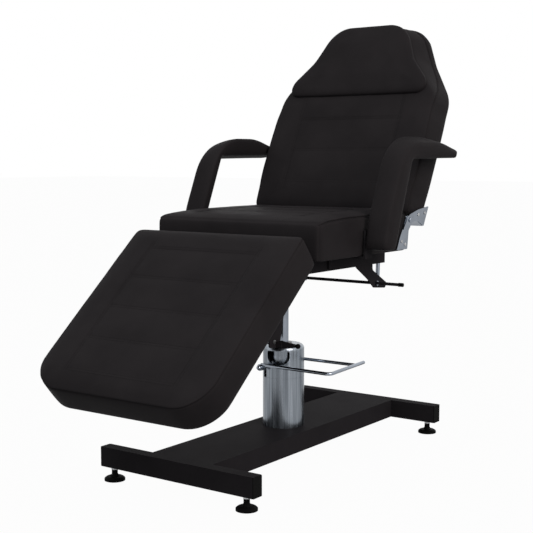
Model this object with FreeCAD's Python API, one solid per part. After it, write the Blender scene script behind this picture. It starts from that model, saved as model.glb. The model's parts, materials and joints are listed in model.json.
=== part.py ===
import FreeCAD, Part
import math
import os

os.makedirs("parts", exist_ok=True)

# Tattoo chair in millimetres, +Z up, the person faces -Y, their left side is +X.
# The origin is on the floor under the pump's axis.

V = FreeCAD.Vector

# Base: two cross tubes joined by a wide folded beam
TUBE_H = 60
TUBE_D = 40
TUBE_WALL = 2.5
TUBE_HALF_L = 280
TUBE_Y = 531
TUBE_BOTTOM = 41
TUBE_TOP = TUBE_BOTTOM + TUBE_H
TUBE_MID = TUBE_BOTTOM + TUBE_H / 2
BEAM_HALF_W = 112
BEAM_WALL = 3
CAP_LIP = 3
CAP_PLUG = 18
CAP_EDGE = 4

# Levelling feet
FOOT_X = 246
FOOT_R = 31
FOOT_RIM_H = 6
FOOT_NECK_R = 9
FOOT_NECK_Z = 33
STUD_R = 5
STUD_TOP = 84
NUT_H = 8
NUT_R = 10.5

# Pump
PUMP_R = 66.5
SLEEVE_WALL = 2.5
SKIRT_TOP = 261
HOUSING_TOP = 366
SHOULDER_R = 16
BODY_R = 47
FLANGE_R = 60
FLANGE_H = 8
PISTON_R = 16
PISTON_BOTTOM = 250
PISTON_TOP = 606
GLAND_R = 23
GLAND_LIP_R = 27
GLAND_LIP_H = 4
BODY_TOP = 346
WINDOW_TURN = 18
WINDOW_HALF_W = 37
WINDOW_Z0 = 306
WINDOW_Z1 = 349
SLOT_HALF_W = 7.6
SLOT_Z1 = 306
FLANGE_BOLT_R = 5
FLANGE_BOLT_RING = 53
RUN = 0.05

# Foot pedal
PEDAL_X = -31
PEDAL_Z = 296
PEDAL_ROD_R = 5.5
PEDAL_BEND_R = 16
PEDAL_FAR_ROD_R = 5.2
PEDAL_SHAFT_R = 7
PEDAL_NEAR_Y = -80
PEDAL_FAR_Y = 76
PEDAL_END_X = 230
PEDAL_TIP = (224, 128, 308)
PEDAL_RISE = 8
PEDAL_HUB_R = 11
PEDAL_HUB_L = 18

# Seat frame
RAIL_X0 = 160
RAIL_X1 = 180
RAIL_Z0 = 611
RAIL_Z1 = 664
RAIL_Y0 = -262
RAIL_Y1 = 335
RAIL_WALL = 2
CROSS_H = 25
CROSS_D = 25
REAR_CROSS_Y = 235
PLATE_HALF_Y = 90
PLATE_H = 8
SOCKET_R = 29
SOCKET_Z0 = 540
RIB_T = 6

# Pads: thickness at the sewn edge, plus the crown
PAD_HALF_W = 303
SEAT_Y0 = -262
SEAT_Y1 = 256
SEAT_T = 112
LEG_L = 624
LEG_T = 98
BACK_L = 712
BACK_T = 102
CROWN = 5
CROWN_INSET = 55
PAD_EDGE = [(0.22, 0.5), (0.55, 0), (0.80, 1), (0.94, 4), (1, 11)]
BOARD_T = 15
BOARD_INSET = 14
SOFT_GAP = 0.3
PANEL_X = 198
GROOVE_W = 4
GROOVE_D = 3.5
GROOVE_STEP = 119
LEG_ORIGIN = (-275, 664)
LEG_TILT = 40
BACK_ORIGIN = (352, 741)
BACK_TILT = 64.5
LEG_CORNER_R = 115
PAD_CORNER_R = 14

# Right half of the backrest's outline, on its board and on its front
BACK_REAR_EDGE = [(303, 0), (303, 445), (222, 605), (176, BACK_L)]
BACK_FRONT_EDGE = [(303, 0), (303, 440), (208, 594), (157, BACK_L)]
BACK_RADII = [PAD_CORNER_R, 120, 150, 60]

# Sewn channels: the first one, how many, and the side channels' ends
SIDE_CHANNEL_END = 62
SEAT_CHANNELS = 3
LEG_CHANNEL_Y = -86
LEG_CHANNELS = 5
BACK_CHANNEL_Y = 100
BACK_CHANNELS = 3

# Head pillow on the upper backrest
PILLOW_V0 = 425
PILLOW_V1 = 692
PILLOW_T = 22
PILLOW_LOW_HALF_W = 258
PILLOW_TOP_HALF_W = 150
PILLOW_LOW_R = 30
PILLOW_TOP_R = 60
PILLOW_EDGE = [(0, 4), (0.4, 0), (0.8, 4), (1, 24)]

# Hinges of the three sections
BACK_PIVOT = (263, 761)
LEG_PIVOT = (-271, 653)
LEG_LUG_R = 10
LEG_PIN_R = 5
SEAT_LUG_X0 = 133
SEAT_LUG_X1 = 137
LEG_LUG_X0 = 128
LEG_LUG_X1 = 132.7
LEG_BAR_X0 = 100
LEG_BAR_X1 = 128
BACK_BAR_X0 = 100
BACK_BAR_X1 = 128
BAR_H = 25
BAR_WALL = 2
LEG_BAR_END = 480
BACK_BAR_END = 560

# Chrome hinge plates outside the pads
SIDE_SEAT_X0 = 305
SIDE_SEAT_X1 = 308.5
SIDE_BACK_X0 = 308.8
SIDE_BACK_X1 = 312.3
RIVET_R = 5
RIVET_HEAD_R = 8
RIVET_HEAD_H = 4
SCREW_R = 3
SCREW_HEAD_R = 5.5
SCREW_HEAD_H = 2.5
FLANGE_IN_X = 245
FLANGE_T = 3
FLANGE_REACH = 46
SEAT_PLATE_SCREWS = [(215, 694), (237, 684)]
BACK_PLATE_SCREWS = [(318, 776), (362, 780)]

# Lockable gas springs ("struts") of the backrest and the leg rest, one on each side
BACK_STRUT = {"x": 148, "low": (341, 538), "high": (354, 733), "tube": 84}
LEG_STRUT = {"x": 160, "low": (-305, 428), "high": (-320.9, 602), "tube": 100}
STRUT_TUBE_R = 10
STRUT_ROD_R = 7
STRUT_PIN_R = 4
STRUT_HEAD_R = 6
STRUT_HEAD_H = 2.5
STRUT_OVERLAP = {"back": 14, "leg": 60}
EYE_R = 9
EYE_HALF_W = 8
LUG_HALF_W = 4
LUG_R = 9
FORK_GAP = 0.5
FORK_T = 4
FORK_R = 8
FORK_REACH = 30

# Drop plates under the rails
DROP_X0 = 174
DROP_X1 = 178

# Release controls
LOCK_Y = 282
LOCK_Z = 546
LOCK_R = 5.2
LOCK_END = 262
LOCK_FAR = -206
LOCK_KNOB_R = 6.5
LOCK_KNOB_L = 18
BUSH_R = 8
BUSH_L = 6
LEVER_X = 192
LEVER_Y = -289
LEVER_Z = 420
LEVER_HUB_R = 11
LEVER_PIN_R = 3
LEVER_END_X = 244
LEVER_HALF_T = 4
LEVER_KNOB_R = 7.5

# Arms
ARM_X0 = 321
ARM_X1 = 397
ARM_INSET = 7
ARM_EDGE = 5
ARM_FRONT_Y = -40
ARM_LOW_Z = 684
ARM_TIP_SLOPE = 10
ARM_TIP_Z = 983
ARM_TOP_Z = 1024
ARM_SHOULDER_Y = 335
ARM_BROW_Y = 84
ARM_WAIST = (-20, 788)
ARM_RADII = [18, 14, 20, 4, 5, 200, 108, 250]

# Each arm section: rear edge below and above, underside, and tip
ARM_INNER = (-24, 98, 970, 452)
ARM_MIDDLE = (2, 114, 965, 456)
ARM_OUTER = (28, 130, 959, 428)
ARM_BOLT_Y = -7
ARM_BOLT_Z = (702, 728)
ARM_BOLT_R = 4
ARM_BOLT_HEAD_R = 7
ARM_BOLT_HEAD_H = 4
ARM_BRACKET_TOP = 742
ARM_BRACKET_T = 7
ARM_BRACKET_Y = (-24, 16)
ARM_BRACKET_X0 = 309
ARM_BRACKET_X1 = 316


def box(x0, x1, y0, y1, z0, z1):
    return Part.makeBox(x1 - x0, y1 - y0, z1 - z0, V(x0, y0, z0))


def rod(p0, p1, radius):
    start = V(*p0)
    way = V(*p1) - start
    return Part.makeCylinder(radius, way.Length, start, way)


def rod_x(x0, x1, y, z, radius):
    return Part.makeCylinder(radius, x1 - x0, V(x0, y, z), V(1, 0, 0))


def rod_y(x, z, y0, y1, radius):
    return Part.makeCylinder(radius, y1 - y0, V(x, y0, z), V(0, 1, 0))


def rod_z(x, y, z0, z1, radius):
    return Part.makeCylinder(radius, z1 - z0, V(x, y, z0))


def fuse(shapes):
    whole = shapes[0].fuse(shapes[1:])
    return whole.removeSplitter()


def mirrored(shape):
    return shape.mirror(V(0, 0, 0), V(1, 0, 0))


def both_sides(shape):
    return Part.makeCompound([shape, mirrored(shape)])


def hexagon(x, y, z0, z1, radius):
    points = []
    for i in range(7):
        turn = math.radians(60 * i)
        points.append(V(x + radius * math.cos(turn), y + radius * math.sin(turn), z0))
    face = Part.Face(Part.makePolygon(points))
    return face.extrude(V(0, 0, z1 - z0))


def rounded_wire(points, radii, place):
    """A closed outline of lines with an arc at each corner that has a radius."""
    count = len(points)
    starts = []
    ends = []
    mids = []
    for i in range(count):
        here = V(points[i][0], points[i][1], 0)
        before = V(points[i - 1][0], points[i - 1][1], 0) - here
        after_point = points[(i + 1) % count]
        after = V(after_point[0], after_point[1], 0) - here
        before.normalize()
        after.normalize()
        half = before.getAngle(after) / 2
        radius = radii[i]
        reach = radius / math.tan(half)
        middle = before + after
        middle.normalize()
        centre = here + middle * (radius / math.sin(half))
        starts.append(here + before * reach)
        ends.append(here + after * reach)
        mids.append(centre - middle * radius)
    edges = []
    for i in range(count):
        a = place(starts[i])
        m = place(mids[i])
        b = place(ends[i])
        edges.append(Part.Arc(a, m, b).toShape())
        following = place(starts[(i + 1) % count])
        edges.append(Part.makeLine(b, following))
    return Part.Wire(edges)


def inset_outline(points, radii, inset):
    """The same outline moved inwards, for points listed anticlockwise."""
    count = len(points)
    moved = []
    new_radii = []
    for i in range(count):
        px, py = points[i]
        ax, ay = points[i - 1]
        bx, by = points[(i + 1) % count]
        ux, uy = px - ax, py - ay
        vx, vy = bx - px, by - py
        ul = math.hypot(ux, uy)
        vl = math.hypot(vx, vy)
        ux, uy = ux / ul, uy / ul
        vx, vy = vx / vl, vy / vl
        turn = ux * vy - uy * vx
        along = 1 + ux * vx + uy * vy
        nx = -(uy + vy) / along
        ny = (ux + vx) / along
        moved.append((px + nx * inset, py + ny * inset))
        if turn > 0:
            new_radii.append(max(radii[i] - inset, 4))
        else:
            new_radii.append(radii[i] + inset)
    return moved, new_radii


def slab_x(points, radii, x0, x1):
    """A plate standing in the Y-Z plane."""
    wire = rounded_wire(points, radii, lambda p: V(x0, p.x, p.y))
    return Part.Face(wire).extrude(V(x1 - x0, 0, 0))


def soft_form(outline_at, levels):
    """A stuffed shape lofted through outlines; each level is (height, inset)."""
    wires = []
    for height, inset in levels:
        points, radii = outline_at(height)
        moved, new_radii = inset_outline(points, radii, inset)
        wires.append(rounded_wire(moved, new_radii, lambda p: V(p.x, p.y, height)))
    return Part.makeLoft(wires, True, False)


def board_form(points, radii, inset, z0, z1):
    moved, new_radii = inset_outline(points, radii, inset)
    wire = rounded_wire(moved, new_radii, lambda p: V(p.x, p.y, z0))
    return Part.Face(wire).extrude(V(0, 0, z1 - z0))


def pad_levels(thickness):
    """The pad's rounded edge: how far in the cover lies at each share of the thickness."""
    levels = [(SOFT_GAP, 5)]
    for share, inset in PAD_EDGE:
        levels.append((thickness * share, inset))
    levels.append((thickness + CROWN, CROWN_INSET))
    return levels


def upholstered(outline_at, thickness, grooves):
    """A crowned cushion with drawn-in sides, wrapped over its board."""
    pad = soft_form(outline_at, pad_levels(thickness))
    points, radii = outline_at(0)
    pocket = board_form(points, radii, BOARD_INSET - SOFT_GAP, 0, BOARD_T + SOFT_GAP)
    return pad.cut([pocket] + grooves)


def groove_across(y, thickness):
    top = thickness + CROWN
    return box(-PANEL_X, PANEL_X, y - GROOVE_W / 2, y + GROOVE_W / 2, top - GROOVE_D, top + 1)


def grooves_along(y0, y1, thickness):
    top = thickness + CROWN
    made = []
    for side in (-1, 1):
        x = side * (PANEL_X + GROOVE_W / 2)
        made.append(box(x - GROOVE_W / 2, x + GROOVE_W / 2, y0, y1, top - GROOVE_D, top + 1))
    return made


def seat_outline(height):
    w = PAD_HALF_W
    points = [(-w, SEAT_Y0), (w, SEAT_Y0), (w, SEAT_Y1), (-w, SEAT_Y1)]
    return points, [PAD_CORNER_R] * 4


def leg_outline(height):
    w = PAD_HALF_W
    points = [(-w, -LEG_L), (w, -LEG_L), (w, 0), (-w, 0)]
    return points, [LEG_CORNER_R, LEG_CORNER_R, PAD_CORNER_R, PAD_CORNER_R]


def back_outline(height):
    """The backrest's outline, which narrows from its board to its front."""
    share = min(height / BACK_T, 1)
    half = []
    for rear, front in zip(BACK_REAR_EDGE, BACK_FRONT_EDGE):
        x = rear[0] + share * (front[0] - rear[0])
        y = rear[1] + share * (front[1] - rear[1])
        half.append((x, y))
    points = half + [(-x, y) for x, y in reversed(half)]
    return points, BACK_RADII + list(reversed(BACK_RADII))


def pillow_outline(height):
    low = PILLOW_LOW_HALF_W
    top = PILLOW_TOP_HALF_W
    points = [(-low, PILLOW_V0), (low, PILLOW_V0), (top, PILLOW_V1), (-top, PILLOW_V1)]
    return points, [PILLOW_LOW_R, PILLOW_LOW_R, PILLOW_TOP_R, PILLOW_TOP_R]


def tilted(shape, degrees, origin, lift=0):
    """Turns a section built flat to its slope and sets its lower edge in place."""
    made = shape.copy()
    made.rotate(V(0, 0, 0), V(1, 0, 0), degrees)
    made.translate(V(0, origin[0], origin[1] + lift))
    return made


def leg_place(shape):
    return tilted(shape, LEG_TILT, LEG_ORIGIN)


def back_place(shape):
    return tilted(shape, BACK_TILT, BACK_ORIGIN)


def square_tube_x(x0, x1, y, z, depth, height, wall):
    outer = box(x0, x1, y - depth / 2, y + depth / 2, z - height / 2, z + height / 2)
    inner = box(
        x0 - 1,
        x1 + 1,
        y - depth / 2 + wall,
        y + depth / 2 - wall,
        z - height / 2 + wall,
        z + height / 2 - wall,
    )
    return outer.cut(inner)


def foot_places():
    return {
        "front_left": (FOOT_X, -TUBE_Y),
        "front_right": (-FOOT_X, -TUBE_Y),
        "rear_left": (FOOT_X, TUBE_Y),
        "rear_right": (-FOOT_X, TUBE_Y),
    }


def cross_tube(y):
    tube = square_tube_x(-TUBE_HALF_L, TUBE_HALF_L, y, TUBE_MID, TUBE_D, TUBE_H, TUBE_WALL)
    holes = []
    for x in (-FOOT_X, FOOT_X):
        holes.append(rod_z(x, y, TUBE_BOTTOM - 1, TUBE_BOTTOM + TUBE_WALL + 1, STUD_R + 1))
    return tube.cut(holes)


def end_cap(side, y):
    lip = box(0, CAP_LIP, -TUBE_D / 2, TUBE_D / 2, -TUBE_H / 2, TUBE_H / 2)
    lip = lip.makeFillet(CAP_EDGE / 2, [e for e in lip.Edges if abs(e.tangentAt(0).x) > 0.9])
    reach_y = TUBE_D / 2 - TUBE_WALL - RUN
    reach_z = TUBE_H / 2 - TUBE_WALL - RUN
    plug = box(-CAP_PLUG, 0, -reach_y, reach_y, -reach_z, reach_z)
    hollow = box(
        -CAP_PLUG - 1,
        -CAP_LIP,
        -reach_y + TUBE_WALL,
        reach_y - TUBE_WALL,
        -reach_z + TUBE_WALL,
        reach_z - TUBE_WALL,
    )
    cap = lip.fuse(plug).cut(hollow)
    if side < 0:
        cap = mirrored(cap)
    cap.translate(V(side * TUBE_HALF_L, y, TUBE_MID))
    return cap


def base_beam():
    """The wide folded beam between the cross tubes, open underneath."""
    y = TUBE_Y - TUBE_D / 2
    outer = box(-BEAM_HALF_W, BEAM_HALF_W, -y, y, TUBE_BOTTOM, TUBE_TOP)
    inner = box(
        -BEAM_HALF_W + BEAM_WALL,
        BEAM_HALF_W - BEAM_WALL,
        -y - 1,
        y + 1,
        TUBE_BOTTOM - 1,
        TUBE_TOP - BEAM_WALL,
    )
    beam = outer.cut(inner)
    holes = []
    for x, y in flange_bolt_places():
        holes.append(rod_z(x, y, TUBE_TOP - BEAM_WALL - 1, TUBE_TOP + 1, FLANGE_BOLT_R + RUN))
    return beam.cut(holes)


def flange_bolt_places():
    places = []
    for i in range(4):
        turn = math.radians(45 + 90 * i)
        places.append((FLANGE_BOLT_RING * math.cos(turn), FLANGE_BOLT_RING * math.sin(turn)))
    return places


def levelling_foot(x, y):
    """A bell-shaped foot with its threaded stud, screwed fully in."""
    rim = V(FOOT_R, 0, FOOT_RIM_H)
    shoulder = V(FOOT_NECK_R + 5, 0, FOOT_RIM_H * 2)
    neck = V(FOOT_NECK_R, 0, FOOT_RIM_H * 3.4)
    top = V(FOOT_NECK_R, 0, FOOT_NECK_Z)
    edges = [
        Part.makeLine(V(0, 0, 0), V(FOOT_R, 0, 0)),
        Part.makeLine(V(FOOT_R, 0, 0), rim),
        Part.Arc(rim, V(FOOT_R - 5, 0, FOOT_RIM_H * 1.75), shoulder).toShape(),
        Part.makeLine(shoulder, neck),
        Part.makeLine(neck, top),
        Part.makeLine(top, V(0, 0, FOOT_NECK_Z)),
        Part.makeLine(V(0, 0, FOOT_NECK_Z), V(0, 0, 0)),
    ]
    disc = Part.Face(Part.Wire(edges)).revolve(V(0, 0, 0), V(0, 0, 1), 360)
    stud = rod_z(0, 0, FOOT_NECK_Z - 1, STUD_TOP, STUD_R)
    foot = fuse([disc, stud])
    foot.translate(V(x, y, 0))
    return foot


def lock_nut(x, y):
    z1 = TUBE_BOTTOM
    nut = hexagon(x, y, z1 - NUT_H, z1, NUT_R)
    return nut.cut(rod_z(x, y, z1 - NUT_H - 1, z1 + 1, STUD_R + RUN))


def pump_body():
    flange = rod_z(0, 0, TUBE_TOP, TUBE_TOP + FLANGE_H, FLANGE_R)
    barrel = rod_z(0, 0, TUBE_TOP + 1, BODY_TOP, BODY_R)
    body = fuse([flange, barrel])
    bore = rod_z(0, 0, TUBE_TOP + 14, HOUSING_TOP, PISTON_R + RUN)
    cuts = [bore]
    for x, y in flange_bolt_places():
        cuts.append(rod_z(x, y, TUBE_TOP - 1, TUBE_TOP + FLANGE_H + 1, FLANGE_BOLT_R + RUN))
    cuts.append(rod_y(PEDAL_X, PEDAL_Z, -2 * BODY_R, 2 * BODY_R, PEDAL_SHAFT_R + RUN))
    return body.cut(cuts)


def flange_bolts():
    made = []
    z0 = TUBE_TOP - BEAM_WALL
    z1 = TUBE_TOP + FLANGE_H
    for x, y in flange_bolt_places():
        shank = rod_z(x, y, z0 - 4, z1 + 1, FLANGE_BOLT_R)
        head = hexagon(x, y, z1, z1 + 5, 6.5)
        nut = hexagon(x, y, z0 - 6, z0, 6.5)
        made.append(fuse([shank, head, nut]))
    return Part.makeCompound(made)


def ring(z0, z1, outer, inner):
    return rod_z(0, 0, z0, z1, outer).cut(rod_z(0, 0, z0 - 1, z1 + 1, inner))


def shaft_slots(z0, z1):
    """The two upright slots that the pedal shaft comes out of."""
    return box(
        PEDAL_X - SLOT_HALF_W,
        PEDAL_X + SLOT_HALF_W,
        -PUMP_R - 1,
        PUMP_R + 1,
        z0,
        z1,
    )


def pump_skirt():
    skirt = ring(TUBE_TOP, SKIRT_TOP, PUMP_R, PUMP_R - SLEEVE_WALL)
    bead = ring(SKIRT_TOP - 3, SKIRT_TOP, PUMP_R - SLEEVE_WALL, PUMP_R - SLEEVE_WALL - 2)
    return fuse([skirt, bead])


def pump_housing():
    outer = rod_z(0, 0, SKIRT_TOP + SOFT_GAP, HOUSING_TOP, PUMP_R)
    rim = [e for e in outer.Edges if e.BoundBox.ZMin > HOUSING_TOP - 1]
    outer = outer.makeFillet(SHOULDER_R, rim)
    inner_r = PUMP_R - SLEEVE_WALL
    inner = rod_z(0, 0, SKIRT_TOP - 1, HOUSING_TOP - SLEEVE_WALL, inner_r)
    rim = [e for e in inner.Edges if e.BoundBox.ZMin > HOUSING_TOP - SLEEVE_WALL - 1]
    inner = inner.makeFillet(SHOULDER_R - SLEEVE_WALL, rim)
    cover = outer.cut(inner)
    mouth = rod_z(0, 0, HOUSING_TOP - 2 * SHOULDER_R, HOUSING_TOP + 1, GLAND_R + RUN)
    window = window_cutter()
    return cover.cut([mouth, window, shaft_slots(SKIRT_TOP - 5, SLOT_Z1)])


def window_cutter():
    """A window with a U-shaped lower edge, through the front of the housing."""
    w = WINDOW_HALF_W
    z0 = WINDOW_Z0
    z1 = WINDOW_Z1
    points = [(-w, z0), (w, z0), (w, z1), (-w, z1)]
    radii = [w * 0.7, w * 0.7, 6, 6]
    wire = rounded_wire(points, radii, lambda p: V(p.x, -PUMP_R - 5, p.y))
    cutter = Part.Face(wire).extrude(V(0, PUMP_R - 10, 0))
    cutter.rotate(V(0, 0, 0), V(0, 0, 1), WINDOW_TURN)
    return cutter


def gland():
    """The guide ring on the pump body that the piston slides in."""
    sleeve = ring(BODY_TOP, HOUSING_TOP + 1, GLAND_R, PISTON_R + RUN)
    lip = ring(HOUSING_TOP, HOUSING_TOP + GLAND_LIP_H, GLAND_LIP_R, PISTON_R + RUN)
    return fuse([sleeve, lip])


def piston():
    rod_part = rod_z(0, 0, PISTON_BOTTOM, PISTON_TOP, PISTON_R)
    edge = [e for e in rod_part.Edges if e.BoundBox.ZMin > PISTON_TOP - 1]
    return rod_part.makeChamfer(2, edge)


def bent_rod(start, corner, end, bend, radius):
    """A round bar with one bend, swept along a line, an arc and a line."""
    first = V(*start)
    middle = V(*corner)
    last = V(*end)
    back = first - middle
    ahead = last - middle
    back.normalize()
    ahead.normalize()
    half = back.getAngle(ahead) / 2
    reach = bend / math.tan(half)
    inwards = back + ahead
    inwards.normalize()
    apex = middle + inwards * (bend / math.sin(half) - bend)
    arc_start = middle + back * reach
    arc_end = middle + ahead * reach
    path = Part.Wire(
        [
            Part.makeLine(first, arc_start),
            Part.Arc(arc_start, apex, arc_end).toShape(),
            Part.makeLine(arc_end, last),
        ]
    )
    section = Part.Wire([Part.makeCircle(radius, first, back)])
    return path.makePipeShell([section], True, False)


def pedal_loop():
    """The bent foot bar: two arms on hubs, and the bar that is stepped on."""
    near = (PEDAL_X, PEDAL_NEAR_Y, PEDAL_Z + PEDAL_RISE)
    far = (PEDAL_X, PEDAL_FAR_Y, PEDAL_Z + PEDAL_RISE + 2)
    elbow = (PEDAL_END_X, PEDAL_NEAR_Y - 4, PEDAL_Z + PEDAL_RISE - 1)
    share = (PEDAL_FAR_Y - elbow[1]) / (PEDAL_TIP[1] - elbow[1])
    meet = tuple(a + share * (b - a) for a, b in zip(elbow, PEDAL_TIP))
    bar = bent_rod(near, elbow, PEDAL_TIP, PEDAL_BEND_R, PEDAL_ROD_R)
    tip = [e for e in bar.Edges if e.Closed and e.BoundBox.YMin > PEDAL_TIP[1] - 2]
    parts = [bar.makeFillet(2, tip), rod(far, meet, PEDAL_FAR_ROD_R)]
    half = PEDAL_HUB_L / 2
    for y in (PEDAL_NEAR_Y, PEDAL_FAR_Y):
        parts.append(rod_y(PEDAL_X, PEDAL_Z, y - half, y + half, PEDAL_HUB_R))
    hole = rod_y(PEDAL_X, PEDAL_Z, -150, 150, PEDAL_SHAFT_R + RUN)
    return fuse(parts).cut(hole)


def pedal_shaft():
    y0 = PEDAL_NEAR_Y - PEDAL_HUB_L / 2 - 4
    y1 = PEDAL_FAR_Y + PEDAL_HUB_L / 2 + 4
    shaft = rod_y(PEDAL_X, PEDAL_Z, y0, y1, PEDAL_SHAFT_R)
    ends = []
    for y in (y0, y1):
        ends.append(Part.makeSphere(PEDAL_SHAFT_R + 1, V(PEDAL_X, y, PEDAL_Z)))
    return fuse([shaft] + ends)


def seat_rail():
    outer = box(RAIL_X0, RAIL_X1, RAIL_Y0, RAIL_Y1, RAIL_Z0, RAIL_Z1)
    inner = box(
        RAIL_X0 + RAIL_WALL,
        RAIL_X1 - RAIL_WALL,
        RAIL_Y0 - 1,
        RAIL_Y1 + 1,
        RAIL_Z0 + RAIL_WALL,
        RAIL_Z1 - RAIL_WALL,
    )
    return outer.cut(inner)


def seat_crossbar(y):
    z = RAIL_Z0 + CROSS_H / 2
    return square_tube_x(-RAIL_X0, RAIL_X0, y, z, CROSS_D, CROSS_H, RAIL_WALL)


def seat_mount():
    """The plate between the rails with the socket that turns on the piston."""
    plate = box(-RAIL_X0, RAIL_X0, -PLATE_HALF_Y, PLATE_HALF_Y, RAIL_Z0, RAIL_Z0 + PLATE_H)
    socket = rod_z(0, 0, SOCKET_Z0, RAIL_Z0 + 1, SOCKET_R)
    ribs = []
    for side in (-1, 1):
        x0 = side * SOCKET_R * 0.9
        points = [(x0, SOCKET_Z0 + 14), (x0, RAIL_Z0 + 1), (side * 120, RAIL_Z0 + 1)]
        corners = [V(p, -RIB_T / 2, q) for p, q in points]
        face = Part.Face(Part.makePolygon(corners + [corners[0]]))
        ribs.append(face.extrude(V(0, RIB_T, 0)))
    whole = fuse([plate, socket] + ribs)
    return whole.cut(rod_z(0, 0, SOCKET_Z0 - 1, PISTON_TOP + 2, PISTON_R + RUN))


def seat_hinge_lug():
    """A lug on the front crossbar that holds a pin of the leg rest."""
    y, z = LEG_PIVOT
    face_y = RAIL_Y0 + CROSS_D - 4
    points = [
        (y - LEG_LUG_R, z - LEG_LUG_R),
        (face_y, RAIL_Z0 + CROSS_H + RUN),
        (face_y, z + LEG_LUG_R),
        (y - LEG_LUG_R, z + LEG_LUG_R),
    ]
    radii = [LEG_LUG_R - 1, 1, 3, LEG_LUG_R - 1]
    plate = slab_x(points, radii, SEAT_LUG_X0, SEAT_LUG_X1)
    return plate.cut(rod_x(SEAT_LUG_X0 - 1, SEAT_LUG_X1 + 1, y, z, LEG_PIN_R + RUN))


def leg_hinge_pin():
    """A bolt through a seat lug and a leg lug."""
    y, z = LEG_PIVOT
    shank = rod_x(LEG_LUG_X0 - 7, SEAT_LUG_X1 + 7, y, z, LEG_PIN_R)
    head = rod_x(SEAT_LUG_X1 + SOFT_GAP, SEAT_LUG_X1 + 6, y, z, LEG_PIN_R + 3)
    nut = rod_x(LEG_LUG_X0 - 7, LEG_LUG_X0 - SOFT_GAP, y, z, LEG_PIN_R + 3)
    return fuse([shank, head, nut])


def hollow_bar(x0, x1, y0, y1):
    """A rectangular tube along a board, just under it."""
    outer = box(x0, x1, y0, y1, -BAR_H, 0)
    wall = BAR_WALL
    inner = box(x0 + wall, x1 - wall, y0 - 1, y1 + 1, -BAR_H + wall, -wall)
    return outer.cut(inner)


def hollow_crossbar(y0):
    """A rectangular tube across, between the two bars under a board."""
    outer = box(-LEG_BAR_X0, LEG_BAR_X0, y0, y0 + BAR_H, -BAR_H, 0)
    wall = BAR_WALL
    inner = box(
        -LEG_BAR_X0 - 1,
        LEG_BAR_X0 + 1,
        y0 + wall,
        y0 + BAR_H - wall,
        -BAR_H + wall,
        -wall,
    )
    return outer.cut(inner)


def leg_frame():
    """Two bars under the leg board, two crossbars and the two hinge lugs."""
    z0 = -BAR_H
    bars = [
        hollow_bar(LEG_BAR_X0, LEG_BAR_X1, -LEG_BAR_END, -30),
        hollow_bar(-LEG_BAR_X1, -LEG_BAR_X0, -LEG_BAR_END, -30),
        hollow_crossbar(-LEG_BAR_END),
        hollow_crossbar(-225),
    ]
    lug = slab_x(
        [(-70, z0), (5.5, z0 + 4), (5.5, -1), (-70, -1)],
        [2, 9, 9, 2],
        LEG_LUG_X0,
        LEG_LUG_X1,
    )
    whole = fuse(bars + [lug, mirrored(lug)])
    placed = leg_place(whole)
    y, z = LEG_PIVOT
    return placed.cut(rod_x(-200, 200, y, z, LEG_PIN_R + RUN))


def back_frame():
    bars = [
        hollow_bar(BACK_BAR_X0, BACK_BAR_X1, 16, BACK_BAR_END),
        hollow_bar(-BACK_BAR_X1, -BACK_BAR_X0, 16, BACK_BAR_END),
        hollow_crossbar(40),
        hollow_crossbar(BACK_BAR_END - BAR_H),
    ]
    return back_place(fuse(bars))


def strut_lug(strut, origin, tilt, foot_y0, foot_y1):
    """A bracket screwed under a board, with the lug for a strut's upper pin."""
    x0 = strut["x"] - LUG_HALF_W
    x1 = strut["x"] + LUG_HALF_W
    y, z = strut["high"]
    turn = math.radians(tilt)
    dy = y - origin[0]
    dz = z - origin[1]
    along = dy * math.cos(turn) + dz * math.sin(turn)
    drop = -dy * math.sin(turn) + dz * math.cos(turn)
    foot = box(x0 - 8, x1 + 10, foot_y0, foot_y1, -3, 0)
    tip = rod_x(x0, x1, along, drop, LUG_R)
    near = max(foot_y0, along - LUG_R * 0.6)
    corners = [(along - LUG_R * 0.6, drop + LUG_R * 0.8), (near, -1), (foot_y1 - 4, -1)]
    corners.append((along + LUG_R * 0.6, drop - LUG_R * 0.8))
    points = [V(x0, p, q) for p, q in corners]
    web = Part.Face(Part.makePolygon(points + [points[0]])).extrude(V(x1 - x0, 0, 0))
    hole = rod_x(x0 - 1, x1 + 1, along, drop, STRUT_PIN_R + RUN)
    return tilted(fuse([foot, web, tip]).cut(hole), tilt, origin)


def side_plate_seat():
    """The chrome plate on the seat's side, up to the pivot of the backrest."""
    y, z = BACK_PIVOT
    points = [
        (185, 668),
        (253, 668),
        (261, 727),
        (280, 752),
        (274, 776),
        (247, 775),
        (224, 737),
        (205, 709),
    ]
    radii = [2, 4, 12, 10, 12, 12, 60, 60]
    plate = slab_x(points, radii, SIDE_SEAT_X0, SIDE_SEAT_X1)
    cuts = [rod_x(SIDE_SEAT_X0 - 1, SIDE_SEAT_X1 + 1, y, z, RIVET_R + RUN)]
    for sy, sz in SEAT_PLATE_SCREWS:
        cuts.append(rod_x(SIDE_SEAT_X0 - 1, SIDE_SEAT_X1 + 1, sy, sz, SCREW_R + RUN))
    return plate.cut(cuts)


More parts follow.
